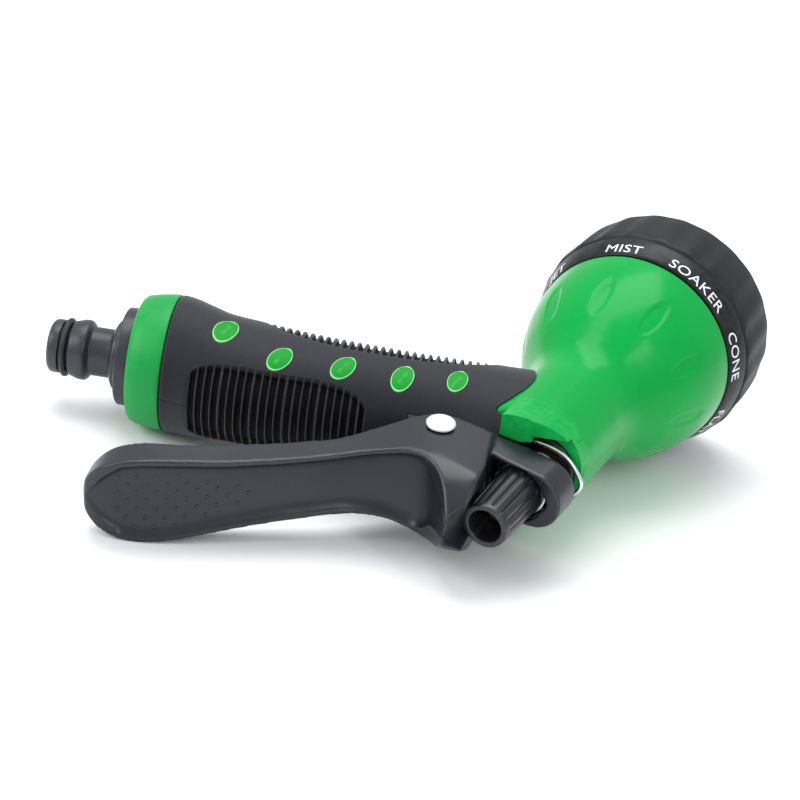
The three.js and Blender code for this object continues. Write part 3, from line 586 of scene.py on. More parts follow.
def leafPlace(x, degrees, turn, side):
    flip = Matrix.Diagonal((1, 1, side, 1))
    spot = shift(*skinPoint(x, degrees))
    return flip @ spot @ turnAbout("X", degrees) @ turnAbout("Z", turn)


head = {
    "barrelEnd": -71.6,
    "bell": [                   # radius, z: from the barrel to the mouth
        (16.4, -42), (16.9, -38.5), (18.0, -35), (19.9, -31.5), (22.1, -28), (24.3, -24.5),
        (26.3, -20.5), (28.1, -16), (29.5, -11), (30.4, -6), (30.9, -1.0),
    ],
    "dimples": 10,
    "dimple": {"z": -19, "turn": -47, "lean": 28, "halfWidth": 2.9, "halfLength": 8.4,
               "depth": 0.42},
    "skirt": (-6.9, 2.4, -76.9),    # rear, front, end: they hide the wire's ends
    "bossLimit": -8.5,          # head x where the boss's rubber ends
    "valve": 4.5,               # head x of the valve, the outlet port and the detent ball
    "port": 16,
    "ball": -16,
}
pin = {"x": 79, "y": -31.2, "radius": 2.5, "hole": 2.65, "boss": 6}
bores = {                       # line, radius, from, to, sides
    "nutSeat": ("valve", 9.9, -80, -68.6, 64),
    "socket": ("hose", 9.6, -20, 4.4, 64),
    "handleBore": ("grip", 5.5, 4, 100, 48),
    "chamber": ("valve", 8.6, -80, -33, 64),
    "throat": ("valve", 5, -40, -13.5, 48),
    "port": ("port", 3.6, -17, 2, 48),
    "sealSeat": ("port", 5.4, -3.2, 2, 48),
    "ballWell": ("ball", 2.3, -9.5, 2, 48),
    "screwHole": ("dial", 1.95, 2, 20, 32),
    "pinHole": ("pin", pin["hole"], -20, 20, 48),
    "earHoles": ("ears", 1.05, -14, 14, 24),
}
lines = {                       # frames in the handle frame, with z along each bore
    "hose": upOnX,
    "grip": shift(0, -1.5) @ upOnX,
    "valve": headInHandle @ shift(head["valve"]),
    "port": headInHandle @ shift(head["port"]),
    "ball": headInHandle @ shift(head["ball"]),
    "dial": headInHandle,
    "pin": shift(pin["x"], pin["y"]),
    "ears": headInHandle @ shift(-5.1, 0, -73.7) @ turnAbout("X", 90),
}


def headForm(name, grow=0.0, steps=128, shape=None):
    end = head["barrelEnd"]
    start = end + 1.4                                  # where the eased corner meets the barrel
    outline = [(0, end - grow), (15.2 + grow, end - grow), (16.0 + grow, end + 0.4 - grow),
               (16.4 + grow, start - grow)]
    outline += [(16.4 + grow, start + (-42 - start) * k / 12) for k in range(1, 12)]
    outline += [(p[0] + grow, p[1]) for p in smoothCurve(head["bell"], 8)]
    outline += [(head["bell"][-1][0] - 0.15 + grow, -0.3 + grow), (30.4 + grow, grow), (0, grow)]
    return turned(name, outline, steps, shape, headInHandle)


def bossOutline(grow=0.0):
    turns = [math.radians(degrees) for degrees in range(180, 361, 6)]
    arc = [onCircle(pin["boss"] + grow, a, pin["x"], pin["y"]) for a in turns]
    return [(pin["x"] - 12 - grow, -12), *arc, (pin["x"] + 12 + grow, -12)]


def headBlock(name, *sides):
    return block(name, *sides, at=headInHandle)


def makeSleeve():
    rows, around = ((460, 300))
    sleeve = handleForm("grip_sleeve_skin", 0, 112, 0, around, rows, sleeveRelief)
    slip = handle["slip"]
    tools = [
        handleForm("sleeveRoom", -6, 118, slip - handle["wall"]),
        headForm("barrelRoom", slip + 0.1),
        prism("bossRoom", bossOutline(slip), -7.2 - slip, 7.2 + slip),
        headBlock("beyondSleeve", handle["sleeveFace"], 80, -40, 40, -120, 60),
    ]
    for x, degrees, turn, half in leaves["places"]:
        for side in (1, -1):
            at = leafPlace(x, degrees, turn, side)
            tools.append(prism("leafRoom", leafOutline(half, 0.06), -4.5, 4.5, at))
    cut(sleeve, *tools)

    def inShadedGroove(spot):                                # painted shade: the bottoms of the grooves get a near-black finish that stands in for the shade in them
        degrees = math.degrees(math.atan2(-(spot.y - station(spot.x)[0]), spot.z))
        return max(ribDip(spot.x, degrees, patch) for patch in ribs.values()) > paintedShadeDepth
    painted(sleeve, "gripRubber", "paintedGrooveShade", inShadedGroove)
    settle(sleeve, handlePlace, None, "body", "grip_rubber", "grip_sleeve", crease=50)


def makeLeaf(index, side):
    x, degrees, turn, half = leaves["places"][index]
    place = leafPlace(x, degrees, turn, side)
    outline = leafOutline(half, -0.12)
    normal = (place.to_3x3() @ Vector((0, 0, 1))).normalized()
    points = []
    for share, height in leaves["crown"]:
        for u, v in outline:
            spot = place @ Vector((u * max(share, 0.001), v * max(share, 0.001), 0))
            middle, depth, width = station(spot.x)
            # along the normal from the spot to the handle's oval skin
            y, z = (spot.y - middle) / depth, spot.z / width
            ny, nz = normal.y / depth, normal.z / width
            a, b, c = ny * ny + nz * nz, 2 * (y * ny + z * nz), y * y + z * z - 1
            rise = (-b + math.sqrt(b * b - 4 * a * c)) / (2 * a)
            points.append(spot + normal * (rise + height))
    rows, columns = len(leaves["crown"]), len(outline)
    faces = gridFaces(rows, columns, False, True) + endCaps(rows, columns)
    node = f"leaf_inset_{'l' if side > 0 else 'r'}{index + 1}"
    leaf = meshObject(node + "_crown", points, faces)
    inverse = place.inverted()

    def onRim(spot):
        flat = inverse @ spot
        share = math.hypot(flat.x / half, flat.y / (half * leaves["waist"]))
        return share > leaves["rimFrom"] and flat.z > leaves["rimFoot"]
    painted(leaf, "leafGreen", "leafEdge", onRim)
    settle(leaf, handlePlace, None, "body", "leaf_green", node, crease=60)


def makeEndRing():
    slip = handle["slip"]
    profile = rounded([
        (14.4 + slip, -10.6), (16.4, -10.6), (17.6, -10.1), (18.3, -9.0), (18.9, -6.2), (19.4, -3.0),
        (19.6, -1.3), (19.55, -slip), (14.4 + slip, -slip),
    ], 0.55, True, 6)
    ring = turned("end_ring", profile, 192)
    settle(ring, handlePlace @ upOnX, "ringGreen", "body", "ring_green", "handle_end_ring")


makeSleeve()
for leafIndex in range(len(leaves["places"])):
    for leafSide in (1, -1):
        makeLeaf(leafIndex, leafSide)
makeEndRing()
print("handle made")


# Body shell: barrel, bell, the core under the sleeve and the pivot boss

def bellShape(radius, z, angle):
    dimple = head["dimple"]
    v = (z - dimple["z"]) / math.cos(math.radians(dimple["lean"])) / dimple["halfLength"]
    if abs(v) >= 1 or radius < 14:
        return radius
    step = 2 * math.pi / head["dimples"]
    off = (angle + math.pi / 2 - math.radians(dimple["turn"])) % step
    u = min(off, step - off) * radius / dimple["halfWidth"]
    return radius - dimple["depth"] * (1 - stepUp(0.62, 1.0, math.hypot(u, v)))


def makeBody():
    steps = 480
    shell = headForm("body_shell_skin", 0, steps, bellShape)
    core = handleForm("core", 2, 106, -handle["wall"])
    cut(core, headBlock("coreEnd", 6, 60, -40, 40, -140, 80),
        headBlock("coreFoot", -9, 60, -40, 40, -140, head["barrelEnd"]))
    foot = head["barrelEnd"]
    ears = [headBlock("ear", -7.0, -2.6, *sides, -76.2, foot + 3)
            for sides in ((9.5, 12.1), (-12.1, -9.5))]
    rear, front, end = head["skirt"]
    top = foot + 2
    wall = 1.2
    skirts = rod("skirts", 16.4, end, top, steps, headInHandle)
    slope = [(rear, end), (front, end), (15.9, foot), (15.9, top), (rear, top)]
    kept(skirts, prism("skirtSides", slope, -20, 20, headInHandle @ turnAbout("X", 90)))
    cut(skirts, headBlock("skirtGap", -20, 20, -8.6, 8.6, end - 1, foot),
        headBlock("wireRoom", rear + wall, front, -12.8, 12.8, end + wall, foot),
        headBlock("frontRoom", front, 20, -11.6, 11.6, end - 1, foot))
    added(shell, skirts, core, rod("neck", 14.4, -9.6, 5, 96, upOnX),
          prism("boss", bossOutline(), -7.2, 7.2),
          rod("bossEye", pin["boss"], -9.5, 9.5, 64, lines["pin"]),
          rod("post", 5, -2, 15, 48, headInHandle), *ears)
    tools = []
    for name, (line, radius, z0, z1, sides) in bores.items():
        tools.append(rod(name, radius, z0, z1, sides, lines[line]))
        if name == "throat":                           # the duct leads on to the outlet port
            tools.append(headBlock("duct", 0, 19.6, -3.6, 3.6, -20, -12.8))
    cut(shell, *tools)
    toHead = headInHandle.inverted()

    def onBoss(spot):                                  # the grip's rubber covers the pivot boss
        return spot.y < -8 and abs(spot.z) < 10 and (toHead @ spot).x < head["bossLimit"]
    painted(shell, "shellGreen", "gripRubber", onBoss)
    settle(shell, handlePlace, None, "body", "shell_green", "body_shell", crease=42)


makeBody()
print("body made")


# Lever: paddle, cheeks, horn and the frame round the flow knob

lever = {
    "front": [                  # side outline, the face toward the handle
        (-8.4, -66.5), (-6.5, -62.6), (-2, -60.6), (4, -59.6), (15, -57.4), (30, -50.2),
        (44, -43.6), (54, -38.6), (62, -32.6), (70, -27.8), (76, -25.7), (81, -25.2), (86, -26.2),
    ],
    "rear": [                   # side outline, the palm face
        (88.6, -63.6), (85.8, -64.2), (84.0, -60), (82.2, -54), (79.2, -48.4), (74.5, -44.6),
        (68, -43.4), (60, -45.0), (50, -49.6), (35, -56.8), (22, -63.0), (12, -67.0), (4, -69.0),
        (-3, -69.4), (-7.4, -68.6),
    ],
    "widths": [                 # x, half width
        (-8.4, 0.6), (-7.6, 4.4), (-5.6, 7.6), (-2.4, 10.2), (2.5, 12.1), (8, 12.8), (16, 12.4),
        (28, 10.9), (42, 9.9), (56, 9.8), (66, 10.9), (73, 12.5), (79, 13), (86, 12.4),
        (90, 11.8), (96, 10.6),
    ],
    "taper": [                  # y, half width of the horn seen from its end
        (-12, 13.2), (-42, 13.2), (-47, 12.6), (-52, 11), (-57, 8), (-61, 5), (-66, 2.4),
    ],
    "flank": [                  # head x, half width of the frame below the lug
        (0.5, 9.3), (-4, 10.0), (-8, 11.1), (-12, 12.0), (-15, 12.5), (-19, 13), (-24, 13),
    ],
    "pocket": [                 # side outline of the hollow between the cheeks
        (4, -52), (16, -49.8), (30, -42.6), (44, -35.8), (54, -30.6), (62, -24), (70, -16),
        (89.4, -20), (89.4, -37), (86, -39.2), (76, -39.4), (68, -39.4), (60, -40.9),
        (50, -45.0), (35, -52.2), (22, -58.4), (12, -61.9), (4, -63.2),
    ],
    "cheekOut": 13, "cheekIn": 9.9,
    "web": (-83.8, -80.4), "frame": (-88.1, -78.4),    # head z of the frame's two layers
    "hole": 6, "holeRadius": 2.9, "lug": 8.4, "lugAt": 4.7,    # hanging hole and its lug
    "dishDepth": 2.7, "dishEdge": 1.5,
    "voxel": 0.36, "calm": 14,
    "dots": {"from": 0.5, "pitch": 4.9, "rows": 7, "rowPitch": 2.5, "lowest": -9.0, "tip": 36,
             "radius": 0.62, "rise": 0.32},
}


def halfWidth(x):
    table = lever["widths"]
    i = 0
    while i < len(table) - 2 and x > table[i + 1][0]:
        i += 1
    (x0, w0), (x1, w1) = table[i], table[i + 1]
    return w0 + (w1 - w0) * min(max((x - x0) / (x1 - x0), 0), 1)


def mirrored(side):             # an outline from its one side
    return side + [(x, -y) for x, y in reversed(side)]


def planform(name, table, limit=99, inset=0.0, bossFrom=200):
    side = [(p[0], limit if p[0] > bossFrom else min(p[1] - inset, limit))
            for p in smoothCurve(table, 8)]
    return prism(name, mirrored(side), 0, 100, turnAbout("X", 90))


def hornShare(spot):            # 1 on the outer flanks of the lever's horn, 0 elsewhere
    outer = stepUp(8.4, 9.6, abs(spot.z)) if spot.y > -52 else stepUp(-2, 1, abs(spot.z))
    lengthwise = stepUp(66, 72, spot.x) * (1 - stepUp(90.5, 92, spot.x))
    return lengthwise * (1 - stepUp(-40, -36, spot.y)) * outer


def leverSolid():
    front = [tuple(p) for p in smoothCurve(lever["front"], 8)]
    rear = [tuple(p) for p in smoothCurve(lever["rear"], 8)]
    outline = [*front, (93.2, -28.4), (92.5, -44.5), (88.9, -62.8), *rear]
    paddle = prism("lever_body", outline, -lever["cheekOut"], lever["cheekOut"])
    kept(paddle, planform("plan", lever["widths"]))
    horn = prism("horn", outline, -lever["cheekOut"], lever["cheekOut"])
    taper = mirrored([tuple(p) for p in smoothCurve(lever["taper"], 6)])
    standing = upOnX @ turnAbout("Z", 90)
    kept(horn, planform("hornPlan", lever["widths"]), prism("taper", taper, 72, 100, standing),
         block("hornEnd", 73.5, 100, -90, 0, -20, 20))
    cut(paddle, block("hornPlace", 74, 110, -90, 0, -20, 20))
    turns = [math.radians(degrees) for degrees in range(-78, 79, 6)]
    lug = [onCircle(lever["lug"], a, head["valve"] + lever["lugAt"]) for a in turns]
    plate = prism("frame", lug + mirrored(lever["flank"]), *lever["frame"], headInHandle)
    under = [(60, -90), (60, -31), *lever["front"][-4:], (102.3, -28.8), (122, -36.4), (122, -90)]
    kept(plate, prism("under", under, -lever["cheekOut"], lever["cheekOut"]))
    return added(paddle, horn, plate)


def dishTool():
    rear = smoothCurve([(x, y, 0) for x, y in lever["rear"][2:]], 8)
    count = len(rear) - 1

    def section(t):
        spot = rear[round(t * count)]
        fade = min(1, (1 - t) * 7, 0.25 + t * 5)
        # the horn's hollow narrows with its taper
        horn = 1 - 0.45 * stepUp(-45, -50, spot.y) if spot.x > 70 else 1
        width = (halfWidth(spot.x) - lever["dishEdge"]) * math.sqrt(fade) * horn
        return lever["dishDepth"] * fade * horn + 0.4, max(width, 1)
    return swept("dish", rear, section, (0, 0, 1), 48)


def makeLever():
    body = leverSolid()
    cheek, web, valve = lever["cheekIn"], lever["web"], head["valve"]
    pocket = prism("pocket", lever["pocket"], -cheek, cheek)
    kept(pocket, planform("pocketPlan", lever["widths"][3:], cheek, 2.4, 68))
    slot = []                                          # half circles moved 2.3 apart
    for start, out in ((-84, 2.3), (96, -2.3)):
        for degrees in range(start, start + 174, 12):
            slot.append(onCircle(3.2, math.radians(degrees), valve + out))
    cut(body, pocket, rod("bossRoom", 7, -cheek, cheek, 64, lines["pin"]),
        headBlock("lightening", -24, valve + 1.5, -8.6, 8.6, web[1], -60),
        dishTool(), rod("knobWell", 8.1, -130, web[0], 96, lines["valve"]),
        headBlock("wellSides", -3.6, valve + 2.2, -8.0, 8.0, lever["frame"][0] - 2, web[0]),
        headBlock("behindLug", -1, 30, -14, 14, -92, lever["frame"][0]),
        prism("stemSlot", slot, -90, -70, headInHandle),
        rod("hangingHole", lever["holeRadius"], -100, -60, 64,
            headInHandle @ shift(valve + lever["hole"])),
        rod("leverPin", pin["hole"], -20, 20, 48, lines["pin"]))
    softened(body, lever["voxel"], lever["calm"],
             hornShare, 40)
    added(body, *gripDots(body))
    settle(body, handlePlace, "leverBlack", "lever", "black_plastic", "lever", crease=55)


def domed(radius, rise, middle, steps):                # half an oval, from pole to pole
    turns = [math.pi * t / steps for t in range(1, steps)]
    arc = [(radius * math.sin(a), middle - rise * math.cos(a)) for a in turns]
    return [(0, middle - rise), *arc, (0, middle + rise)]


def gripDots(body):
    dots = lever["dots"]
    tree = BVHTree.FromPolygons([v.co for v in body.data.vertices],
                                [tuple(f.vertices) for f in body.data.polygons])
    cap = domed(dots["radius"], dots["rise"], 0, 10)
    made = []
    for row in range(dots["rows"]):
        z = dots["lowest"] + row * dots["rowPitch"]
        x = dots["from"] + (row % 2) * dots["pitch"] / 2
        while x < dots["tip"]:
            room = min(halfWidth(x) - 2.6, 9.2 * (1 - (x / dots["tip"]) ** 2.2) + 0.8)
            spot = tree.ray_cast(Vector((x, -90, z)), Vector((0, 1, 0)))[0]
            if abs(z + 1.5) < room and spot is not None:
                at = shift(*spot) @ turnAbout("X", 90)
                made.append(turned("dot", cap, 16, None, at))
            x += dots["pitch"]
    print("grip dots:", len(made))
    return made


makeLever()
print("lever made")


# Turned pieces: each has a profile of (radius, z), a frame, a body and a finish

places = {
    "handle": handlePlace @ upOnX,
    "valve": headPlace @ shift(head["valve"]),
    "head": headPlace,
    "port": headPlace @ shift(head["port"]),
    "ball": headPlace @ shift(head["ball"]),
}


def ringProfile(middle, z, radius, count=20):
    return [onCircle(radius, 2 * math.pi * i / count, middle, z) for i in range(count)]


turnedPieces = {
    "hose_coupling": ("handle", "body", "black_plastic", "tailBlack", 0.3, [
        (4.6, -35.6), (6.7, -35.6), (7.5, -34.9), (7.7, -34.2), (7.7, -32.3), (6.6, -32.3),
        (6.6, -29.3), (7.9, -29.3), (8.0, -28.6), (8.65, -26.6), (8.65, -25.0), (8.3, -24.4),
        (7.0, -23.4), (7.0, -17.6), (8.4, -17.2), (9.8, -16.4), (10.0, -15.8), (10.0, -14.6),
        (13.6, -14.6), (14.0, -14.2), (14.0, -11.0), (9.3, -10.9), (9.3, -1.2), (4.6, -1.2)]),
    "coupling_o_ring": ("handle", "body", "seal_rubber", "sealRubber", 0,
                        ringProfile(7.6, -30.8, 0.85)),
    "coupling_washer": ("handle", "body", "seal_rubber", "sealRubber", 0.2, [
        (5, -0.9), (9.2, -0.9), (9.2, 0.7), (5, 0.7)]),
    "valve_stem": ("valve", "stem", "brass", "turnedBrass", 0.25, [
        (0, -96.6), (2.4, -96.6), (2.4, -47.4), (4.2, -47.4), (4.2, -45.6), (2.4, -45.6),
        (2.4, -39.2), (0, -39.2)]),
    "valve_plunger": ("valve", "stem", "brass", "turnedBrass", 0.3, [
        (2.7, -45.3), (7.4, -45.3), (7.4, -40.0), (6.6, -39.0), (2.7, -39.0)]),
    "plunger_seal": ("valve", "stem", "seal_rubber", "sealRubber", 0.3, [
        (0, -38.7), (6.9, -38.7), (7.2, -38.3), (6.6, -37.2), (4.6, -36.7), (0, -36.7)]),
    "valve_seat": ("valve", "body", "acetal", "whiteAcetal", 0.2, [
        (4.2, -36.3), (5.4, -36.3), (6.2, -35.6), (8.3, -35.4), (8.3, -33.4), (4.2, -33.4)]),
    "gland_nut": ("valve", "body", "black_plastic", "knobBlack", 0.3, [
        (2.8, -61.5), (8.3, -61.5), (8.3, -68.9), (9.6, -68.9), (9.6, -71.9), (9.0, -72.4),
        (4.6, -72.4), (4.6, -67.0), (2.8, -67.0)]),
    "stem_o_ring": ("valve", "body", "seal_rubber", "sealRubber", 0, ringProfile(3.45, -68.3, 0.9)),
    "gland_collar": ("valve", "body", "acetal", "whiteAcetal", 0.15, [
        (2.8, -72.2), (4.3, -72.2), (4.3, -69.6), (2.8, -69.6)]),
    "thrust_washer": ("valve", "stem", "steel", "brightSteel", 0.2, [
        (2.75, -85.35), (7.8, -85.35), (7.8, -84.15), (2.75, -84.15)]),
    "outlet_seal": ("port", "body", "seal_rubber", "sealRubber", 0.3, [
        (3.7, -2.9), (5.1, -2.9), (5.1, 2.9), (3.7, 2.9)]),
    "dial_label_ring": ("head", "dial", "dial_black", "labelBlack", 0.3, [
        (28.6, 0.4), (31.0, 0.4), (31.5, 1.0), (33.6, 6.2), (33.6, 7.0), (28.6, 7.0)]),
    "dial_washer": ("head", "body", "acetal", "whiteAcetal", 0.2, [
        (2.2, 15.2), (5.2, 15.2), (5.2, 16.2), (2.2, 16.2)]),
    "dial_cap": ("head", "dial", "shell_green", "shellGreen", 0.5, [
        (0, 22.0), (6.0, 22.0), (6.0, 24.6), (5.2, 25.6), (3, 26.05), (0, 26.2)]),
}


def makeTurned():
    for node, (where, body, slot, finish, ease, profile) in turnedPieces.items():
        closed = profile[0][0] > 0                     # hollow pieces are rings
        outline = rounded(profile, ease, closed) if ease else profile
        settle(turned(node + "_turned", outline), places[where], finish, body, slot, node)


makeTurned()


def makePin():
    place = handlePlace @ lines["pin"]
    shaft = [(0, -14.6), (pin["radius"], -14.6), (pin["radius"], 13.3), (3.9, 13.3), (4.05, 13.7),
             (3.85, 14.2), (3.2, 14.5), (0, 14.6)]
    thing = turned("pivot_pin_turned", rounded(shaft, 0.25))
    settle(thing, place, "pinSteelPaintedGlare", "body", "steel", "pivot_pin")
    inner = pin["radius"] + handle["slip"]
    cap = [(0, -14.9), (inner, -14.9), (inner, -13.3), (3.9, -13.3), (3.9, -13.9), (3.4, -15.2),
           (0, -15.4)]
    thing = turned("pivot_cap_turned", rounded(cap, 0.3), 96)
    settle(thing, place, "pinSteelPaintedGlare", "body", "steel", "pivot_pin_cap")


knob = {                        # face and end are head z
    "face": -85.7, "end": -106,
    "flutes": 13, "fluteDepth": 0.4, "fluteWidth": 0.34, "facet": 0.16,
}


def flutedShape(radius, z, angle):
    low, high = knob["end"] + 1.5, knob["face"] - 1.7
    if radius < 5.5 or z > high or z < low:
        return radius
    step = 2 * math.pi / knob["flutes"]
    off = angle % step
    near = min(off, step - off) * radius
    ends = stepUp(high, high - 0.9, z) * stepUp(low, low + 0.7, z)
    facet = knob["facet"] * (math.cos(math.pi * near / (step * radius / 2)) + 1)
    return radius - ends * (knob["fluteDepth"] * (1 - stepUp(0.05, knob["fluteWidth"], near)) + facet)


def makeKnob():
    face, end = knob["face"], knob["end"]
    outline = [(2.7, face), (7.1, face), (7.1, face - 1.6)]
    for k in range(1, 18):
        t = k / 18
        outline.append((7.1 - 0.62 * t, face - 1.6 + (end + 1.5 - face + 1.6) * t))
    outline += [(6.45, end + 1.3), (6.2, end), (4.75, end), (4.5, end + 1.2), (4.4, end + 10),
                (2.7, end + 10)]
    thing = turned("flow_knob_turned", rounded(outline, 0.35, True), 408, flutedShape)
    settle(thing, places["valve"], "knobBlack", "knob", "black_plastic", "flow_knob", crease=34)


bail = {
    "side": [                   # head x, y: from one ear to the end of the loop
        (-5.1, 11.6), (-5.1, 10.3), (-5.0, 8.9), (-3.6, 8.3), (0.5, 8.4), (4.5, 8.5), (8.4, 8.2),
        (12.0, 6.8), (15.0, 4.1), (16.9, 1.4),
    ],
    "tip": (17.2, 0), "z": -73.7, "radius": 0.65,
}


def makeWire():
    points = [*bail["side"], bail["tip"], *[(x, -y) for x, y in reversed(bail["side"])]]
    path = smoothCurve([(x, y, bail["z"]) for x, y in points], 8)
    wire = swept("lock_wire_bent", path, lambda t: (bail["radius"], bail["radius"]), (0, 0, 1))
    settle(wire, headPlace, "brightSteel", "bail", "steel", "lock_wire", crease=60)


def makeSprings():
    travel = joints["stem_slide"]["range_m"][1] / mm
    spring = coil("return_spring_wound", 5.6, 0.55, -61.2, -45.6, 5.2)
    settle(spring, places["valve"], "brightSteel", "body", "steel", "return_spring", crease=60)
    foot = places["valve"] @ Vector((0, 0, -61.2))
    1 - travel / 15.6
    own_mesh(spring)
    small = coil("detent_spring_wound", 1.4, 0.3, -9.3, -1.1, 4)
    settle(small, places["ball"], "brightSteel", "body", "steel", "detent_spring", crease=60)
    foot = places["ball"] @ Vector((0, 0, -9.3))
    travel = joints["detent_click"]["range_m"][1] / mm
    1 - travel / 8.2
    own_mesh(small)
    thing = turned("detent_ball_turned", domed(1.9, 1.9, 1.1, 24), 48)
    settle(thing, places["ball"], "brightSteel", "ball", "steel", "detent_ball")


makePin()
makeKnob()
makeWire()
makeSprings()
print("turned pieces, wire and springs made")


# Dial: grip with lobes, printed label words, face plate and outlet inserts

dial = {
    "lobes": 24, "lobeDepth": 0.5,
    "patterns": 8, "portRadius": 16,    # outlets round the face plate
    "outer": [                  # radius, z of the grip, from the label ring to its rim
        (33.3, 7.3), (34.2, 8.3), (34.5, 10.5), (34.45, 14), (34.3, 18), (34.0, 22), (33.6, 25),
        (33.0, 27.2), (31.9, 28.5), (31.2, 28.7),
    ],
}
words = {                       # first is degrees round the dial, the rest mm and ratios
    "names": ["SOAKER", "CONE", "FLAT", "SHOWER", "CENTRE", "ANGLE", "JET", "MIST"],
    "first": 299.5, "height": 3.1, "base": 1.25, "print": 0.06, "spread": 1.06, "wide": 1.22,
    "band": ((31.5, 1.0), (33.6, 6.2)),     # radius, z of the sloping band's two edges
}
rose = [(*onCircle(1.9, k * math.pi / 4), 0.4) for k in range(8)]
inserts = {                     # round outlets of each pattern: x, y, radius
    "mist": [(0, 0, 0.35)], "soaker": [(0, 0, 2.3)], "cone": [(0, 0, 0.9)], "jet": [(0, 0, 1.5)],
    "flat": [],                 # this and angle have a slit instead
    "shower": [(0, 0, 0.4), *rose],
    "centre": [(0, 0, 0.5), (1.5, 0, 0.5), (-0.75, 1.3, 0.5), (-0.75, -1.3, 0.5)],
    "angle": [],
}


def lobedShape(radius, z, angle):
    if radius < 32.2:
        return radius
    dip = 0.5 - 0.5 * math.cos(angle * dial["lobes"])
    ends = stepUp(7.4, 9.4, z) * (1 - stepUp(24.5, 28.4, z) * 0.85)
    return radius - dial["lobeDepth"] * dip * ends


def makeGrip():
    outer = [tuple(p) for p in smoothCurve(dial["outer"], 4)]
    outline = [(28.6, 7.3), *outer, (29.7, 28.7), (29.4, 28.3), (29.2, 24.8), (28.6, 24.6)]
    grip = turned("dial_grip_turned", outline, 576, lobedShape)
    settle(grip, headPlace, "dialBlack", "dial", "dial_black", "dial_grip", crease=34)


def roundDial(step, radius):    # a place on the face, in steps of one pattern
    angle = 2 * math.pi * step / dial["patterns"]
    return shift(*onCircle(radius, angle))


def makeFace():
    section = [(6.3, 20.8), (28.2, 20.8), (28.2, 24.2), (6.3, 24.2)]
    plate = turned("dial_face_turned", rounded(section, 0.35, True), 192)
    tools = []
    for i in range(dial["patterns"]):
        tools.append(rod("outletRoom", 4.2, 18, 26, 48, roundDial(i, dial["portRadius"])))
        tools.append(rod("drain", 0.7, 18, 26, 16, roundDial(i + 0.5, 24.6)))
    cut(plate, *tools)
    settle(plate, headPlace, "dialBlack", "dial", "dial_black", "dial_face_plate")
    section = rounded([(0, 20.9), (3.9, 20.9), (3.9, 24.5), (3.4, 25.4), (0, 25.6)], 0.35)
    for i, (kind, holes) in enumerate(inserts.items()):
        plug = turned("insert_" + kind + "_plug", section, 64)
        if holes:
            cut(plug, *[rod("outlet", r, 18, 28, 24, shift(x, y)) for x, y, r in holes])
        else:
            turn = turnAbout("Z", 0 if kind == "flat" else 45)
            cut(plug, block("slit", -2.6, 2.6, -0.5, 0.5, 18, 28, turn))
        place = headPlace @ roundDial(i, dial["portRadius"])
        settle(plug, place, "ringGreen", "dial", "ring_green", "insert_" + kind)


def makeWords():
    rear, front = [Vector(edge) for edge in words["band"]]
    slope = (front - rear).normalized()
    normal = Vector((slope.y, -slope.x))
    points, faces = [], []
    for i, name in enumerate(words["names"]):
        curve = bpy.data.curves.new("letters", "FONT")
        curve.body, curve.size, curve.extrude = name, words["height"] / 0.7, words["print"]
        curve.align_x, curve.space_character, curve.resolution_u = "CENTER", words["spread"], 6
        text = bpy.data.objects.new("letters", curve)
        link(text)
        mesh = finalMesh(text)
        first = len(points)
        middle = math.radians(words["first"] + 360 / dial["patterns"] * i)
        for vertex in mesh.vertices:
            x, y, z = vertex.co
            # up the sloping band from its rear edge, then round the ring
            flat = rear + slope * (words["base"] - 1.0 + y * 0.98)
            flat += normal * (z + words["print"] * 0.9)
            angle = middle + x * words["wide"] / flat.x
            points.append((*onCircle(flat.x, angle), flat.y))
        faces += [tuple(first + v for v in face.vertices) for face in mesh.polygons]
        bpy.data.objects.remove(text)
        bpy.data.curves.remove(curve)
        bpy.data.meshes.remove(mesh)
    letters = meshObject("dial_words", points, faces)
    settle(letters, headPlace, "printWhite", "dial", "acetal", crease=30)


makeGrip()
makeFace()
makeWords()
print("dial made")


# Pieces whose CAD shape is right get their finish
for node, finish in {"inlet_filter": "whiteAcetal", "dial_rotor": "dialBlack",
                     "dial_screw": "brightSteel"}.items():
    thing = frame["nodes"][node]
    thing.data.materials.clear()
    thing.data.materials.append(paints[finish])

# Floor, lights and camera
studio = {
    "aim": (-1.5, -6.0, 22.9),  # mm
    "distance": 565.3,
    "azimuth": -87.76,
    "elevation": 26.2,
    "roll": 11.02,
    "lens": 90,
    "floor": (252, 252, 253),
    "floorSize": 3.0,           # metres, as are the lights' places
    "lights": {                 # place, aim, size, power
        "overhead": ((-0.1, 0.25, 0.9), (0, 0, 0), (0.9, 0.6), 6.5),
        "window": ((-0.75, -0.35, 0.55), (0, 0, 0.02), (0.5, 0.5), 3.5),
        "strip": ((0.55, -0.5, 0.6), (0.05, 0.02, 0.03), (0.08, 0.6), 1.2),
    },
}


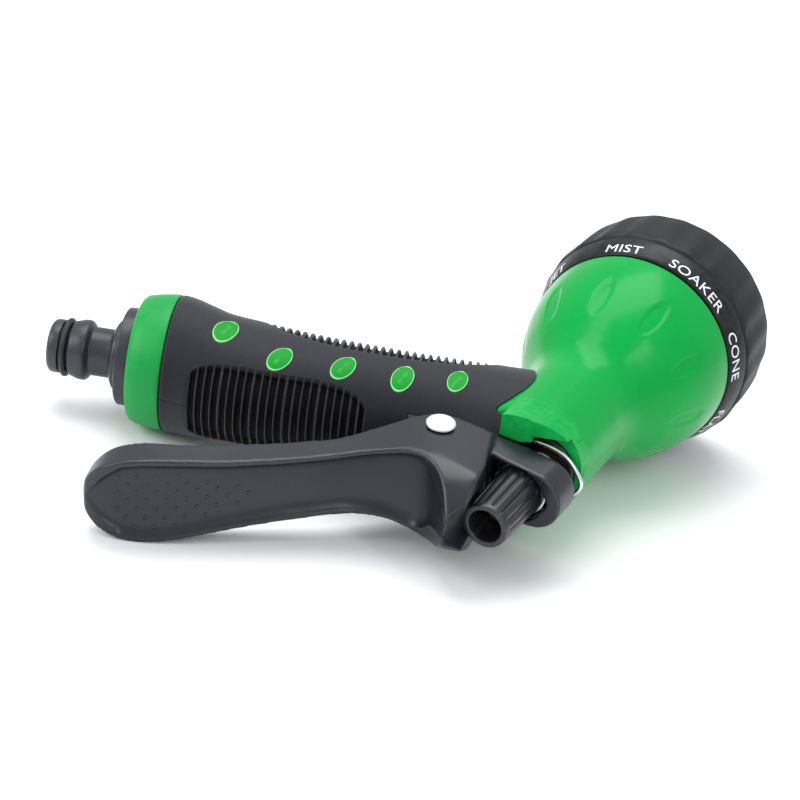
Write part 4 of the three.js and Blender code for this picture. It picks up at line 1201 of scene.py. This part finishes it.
def makeFloor():
    size, rim = studio["floorSize"], 96
    points = [(*onCircle(size, 2 * math.pi * k / rim), 0) for k in range(rim)]
    mesh = bpy.data.meshes.new("studio_floor")
    mesh.from_pydata(points, [], [tuple(range(rim))])
    floor = bpy.data.objects.new("studio_floor", mesh)
    link(floor)
    material, start = blankMaterial("floorPaper")
    shade = linear(*studio["floor"])
    place = start.node("ShaderNodeTexCoord", {}, {}, "Object")
    tone = place.noise(9.0, 3.0).mixed(tuple(c * 0.985 for c in shade[:3]) + (1,), shade)
    shader = start.node("ShaderNodeBsdfPrincipled", {}, {
        "Base Color": tone, "Roughness": 0.75, "Specular IOR Level": 0.2})
    start.node("ShaderNodeOutputMaterial", {}, {"Surface": shader})
    mesh.materials.append(material)


def areaLight(name, place, aim, size, power):
    light = bpy.data.lights.new(name, "AREA")
    light.shape, light.size, light.size_y = "RECTANGLE", *size
    light.energy = power
    lamp = bpy.data.objects.new(name, light)
    lamp.location = place
    lamp.rotation_euler = (Vector(aim) - Vector(place)).to_track_quat("-Z", "Y").to_euler()
    link(lamp)


def makeStudio():
    makeFloor()
    world = bpy.data.worlds.new("studio")
    world.use_nodes = True
    sky = world.node_tree.nodes["Background"]
    sky.inputs["Color"].default_value = (0.95, 0.97, 1.0, 1)
    sky.inputs["Strength"].default_value = 0.78
    scene.world = world
    scene.view_settings.view_transform = "Standard"
    for name, values in studio["lights"].items():
        areaLight(name, *values)
    look = bpy.data.cameras.new("camera")
    look.lens, look.sensor_width = studio["lens"], 36
    camera = bpy.data.objects.new("camera", look)
    turn = math.radians(studio["azimuth"])
    rise = math.radians(studio["elevation"])
    level = math.cos(rise)
    back = Vector((math.cos(turn) * level, math.sin(turn) * level, math.sin(rise)))
    right = Vector((0, 0, 1)).cross(back).normalized()
    right.rotate(Matrix.Rotation(math.radians(studio["roll"]), 3, back))
    basis = Matrix((right, back.cross(right), back)).transposed().to_4x4()
    aim = Vector(studio["aim"]) * mm
    camera.matrix_world = Matrix.Translation(aim + back * studio["distance"] * mm) @ basis
    link(camera)
    scene.camera = camera


makeStudio()
print("studio made")
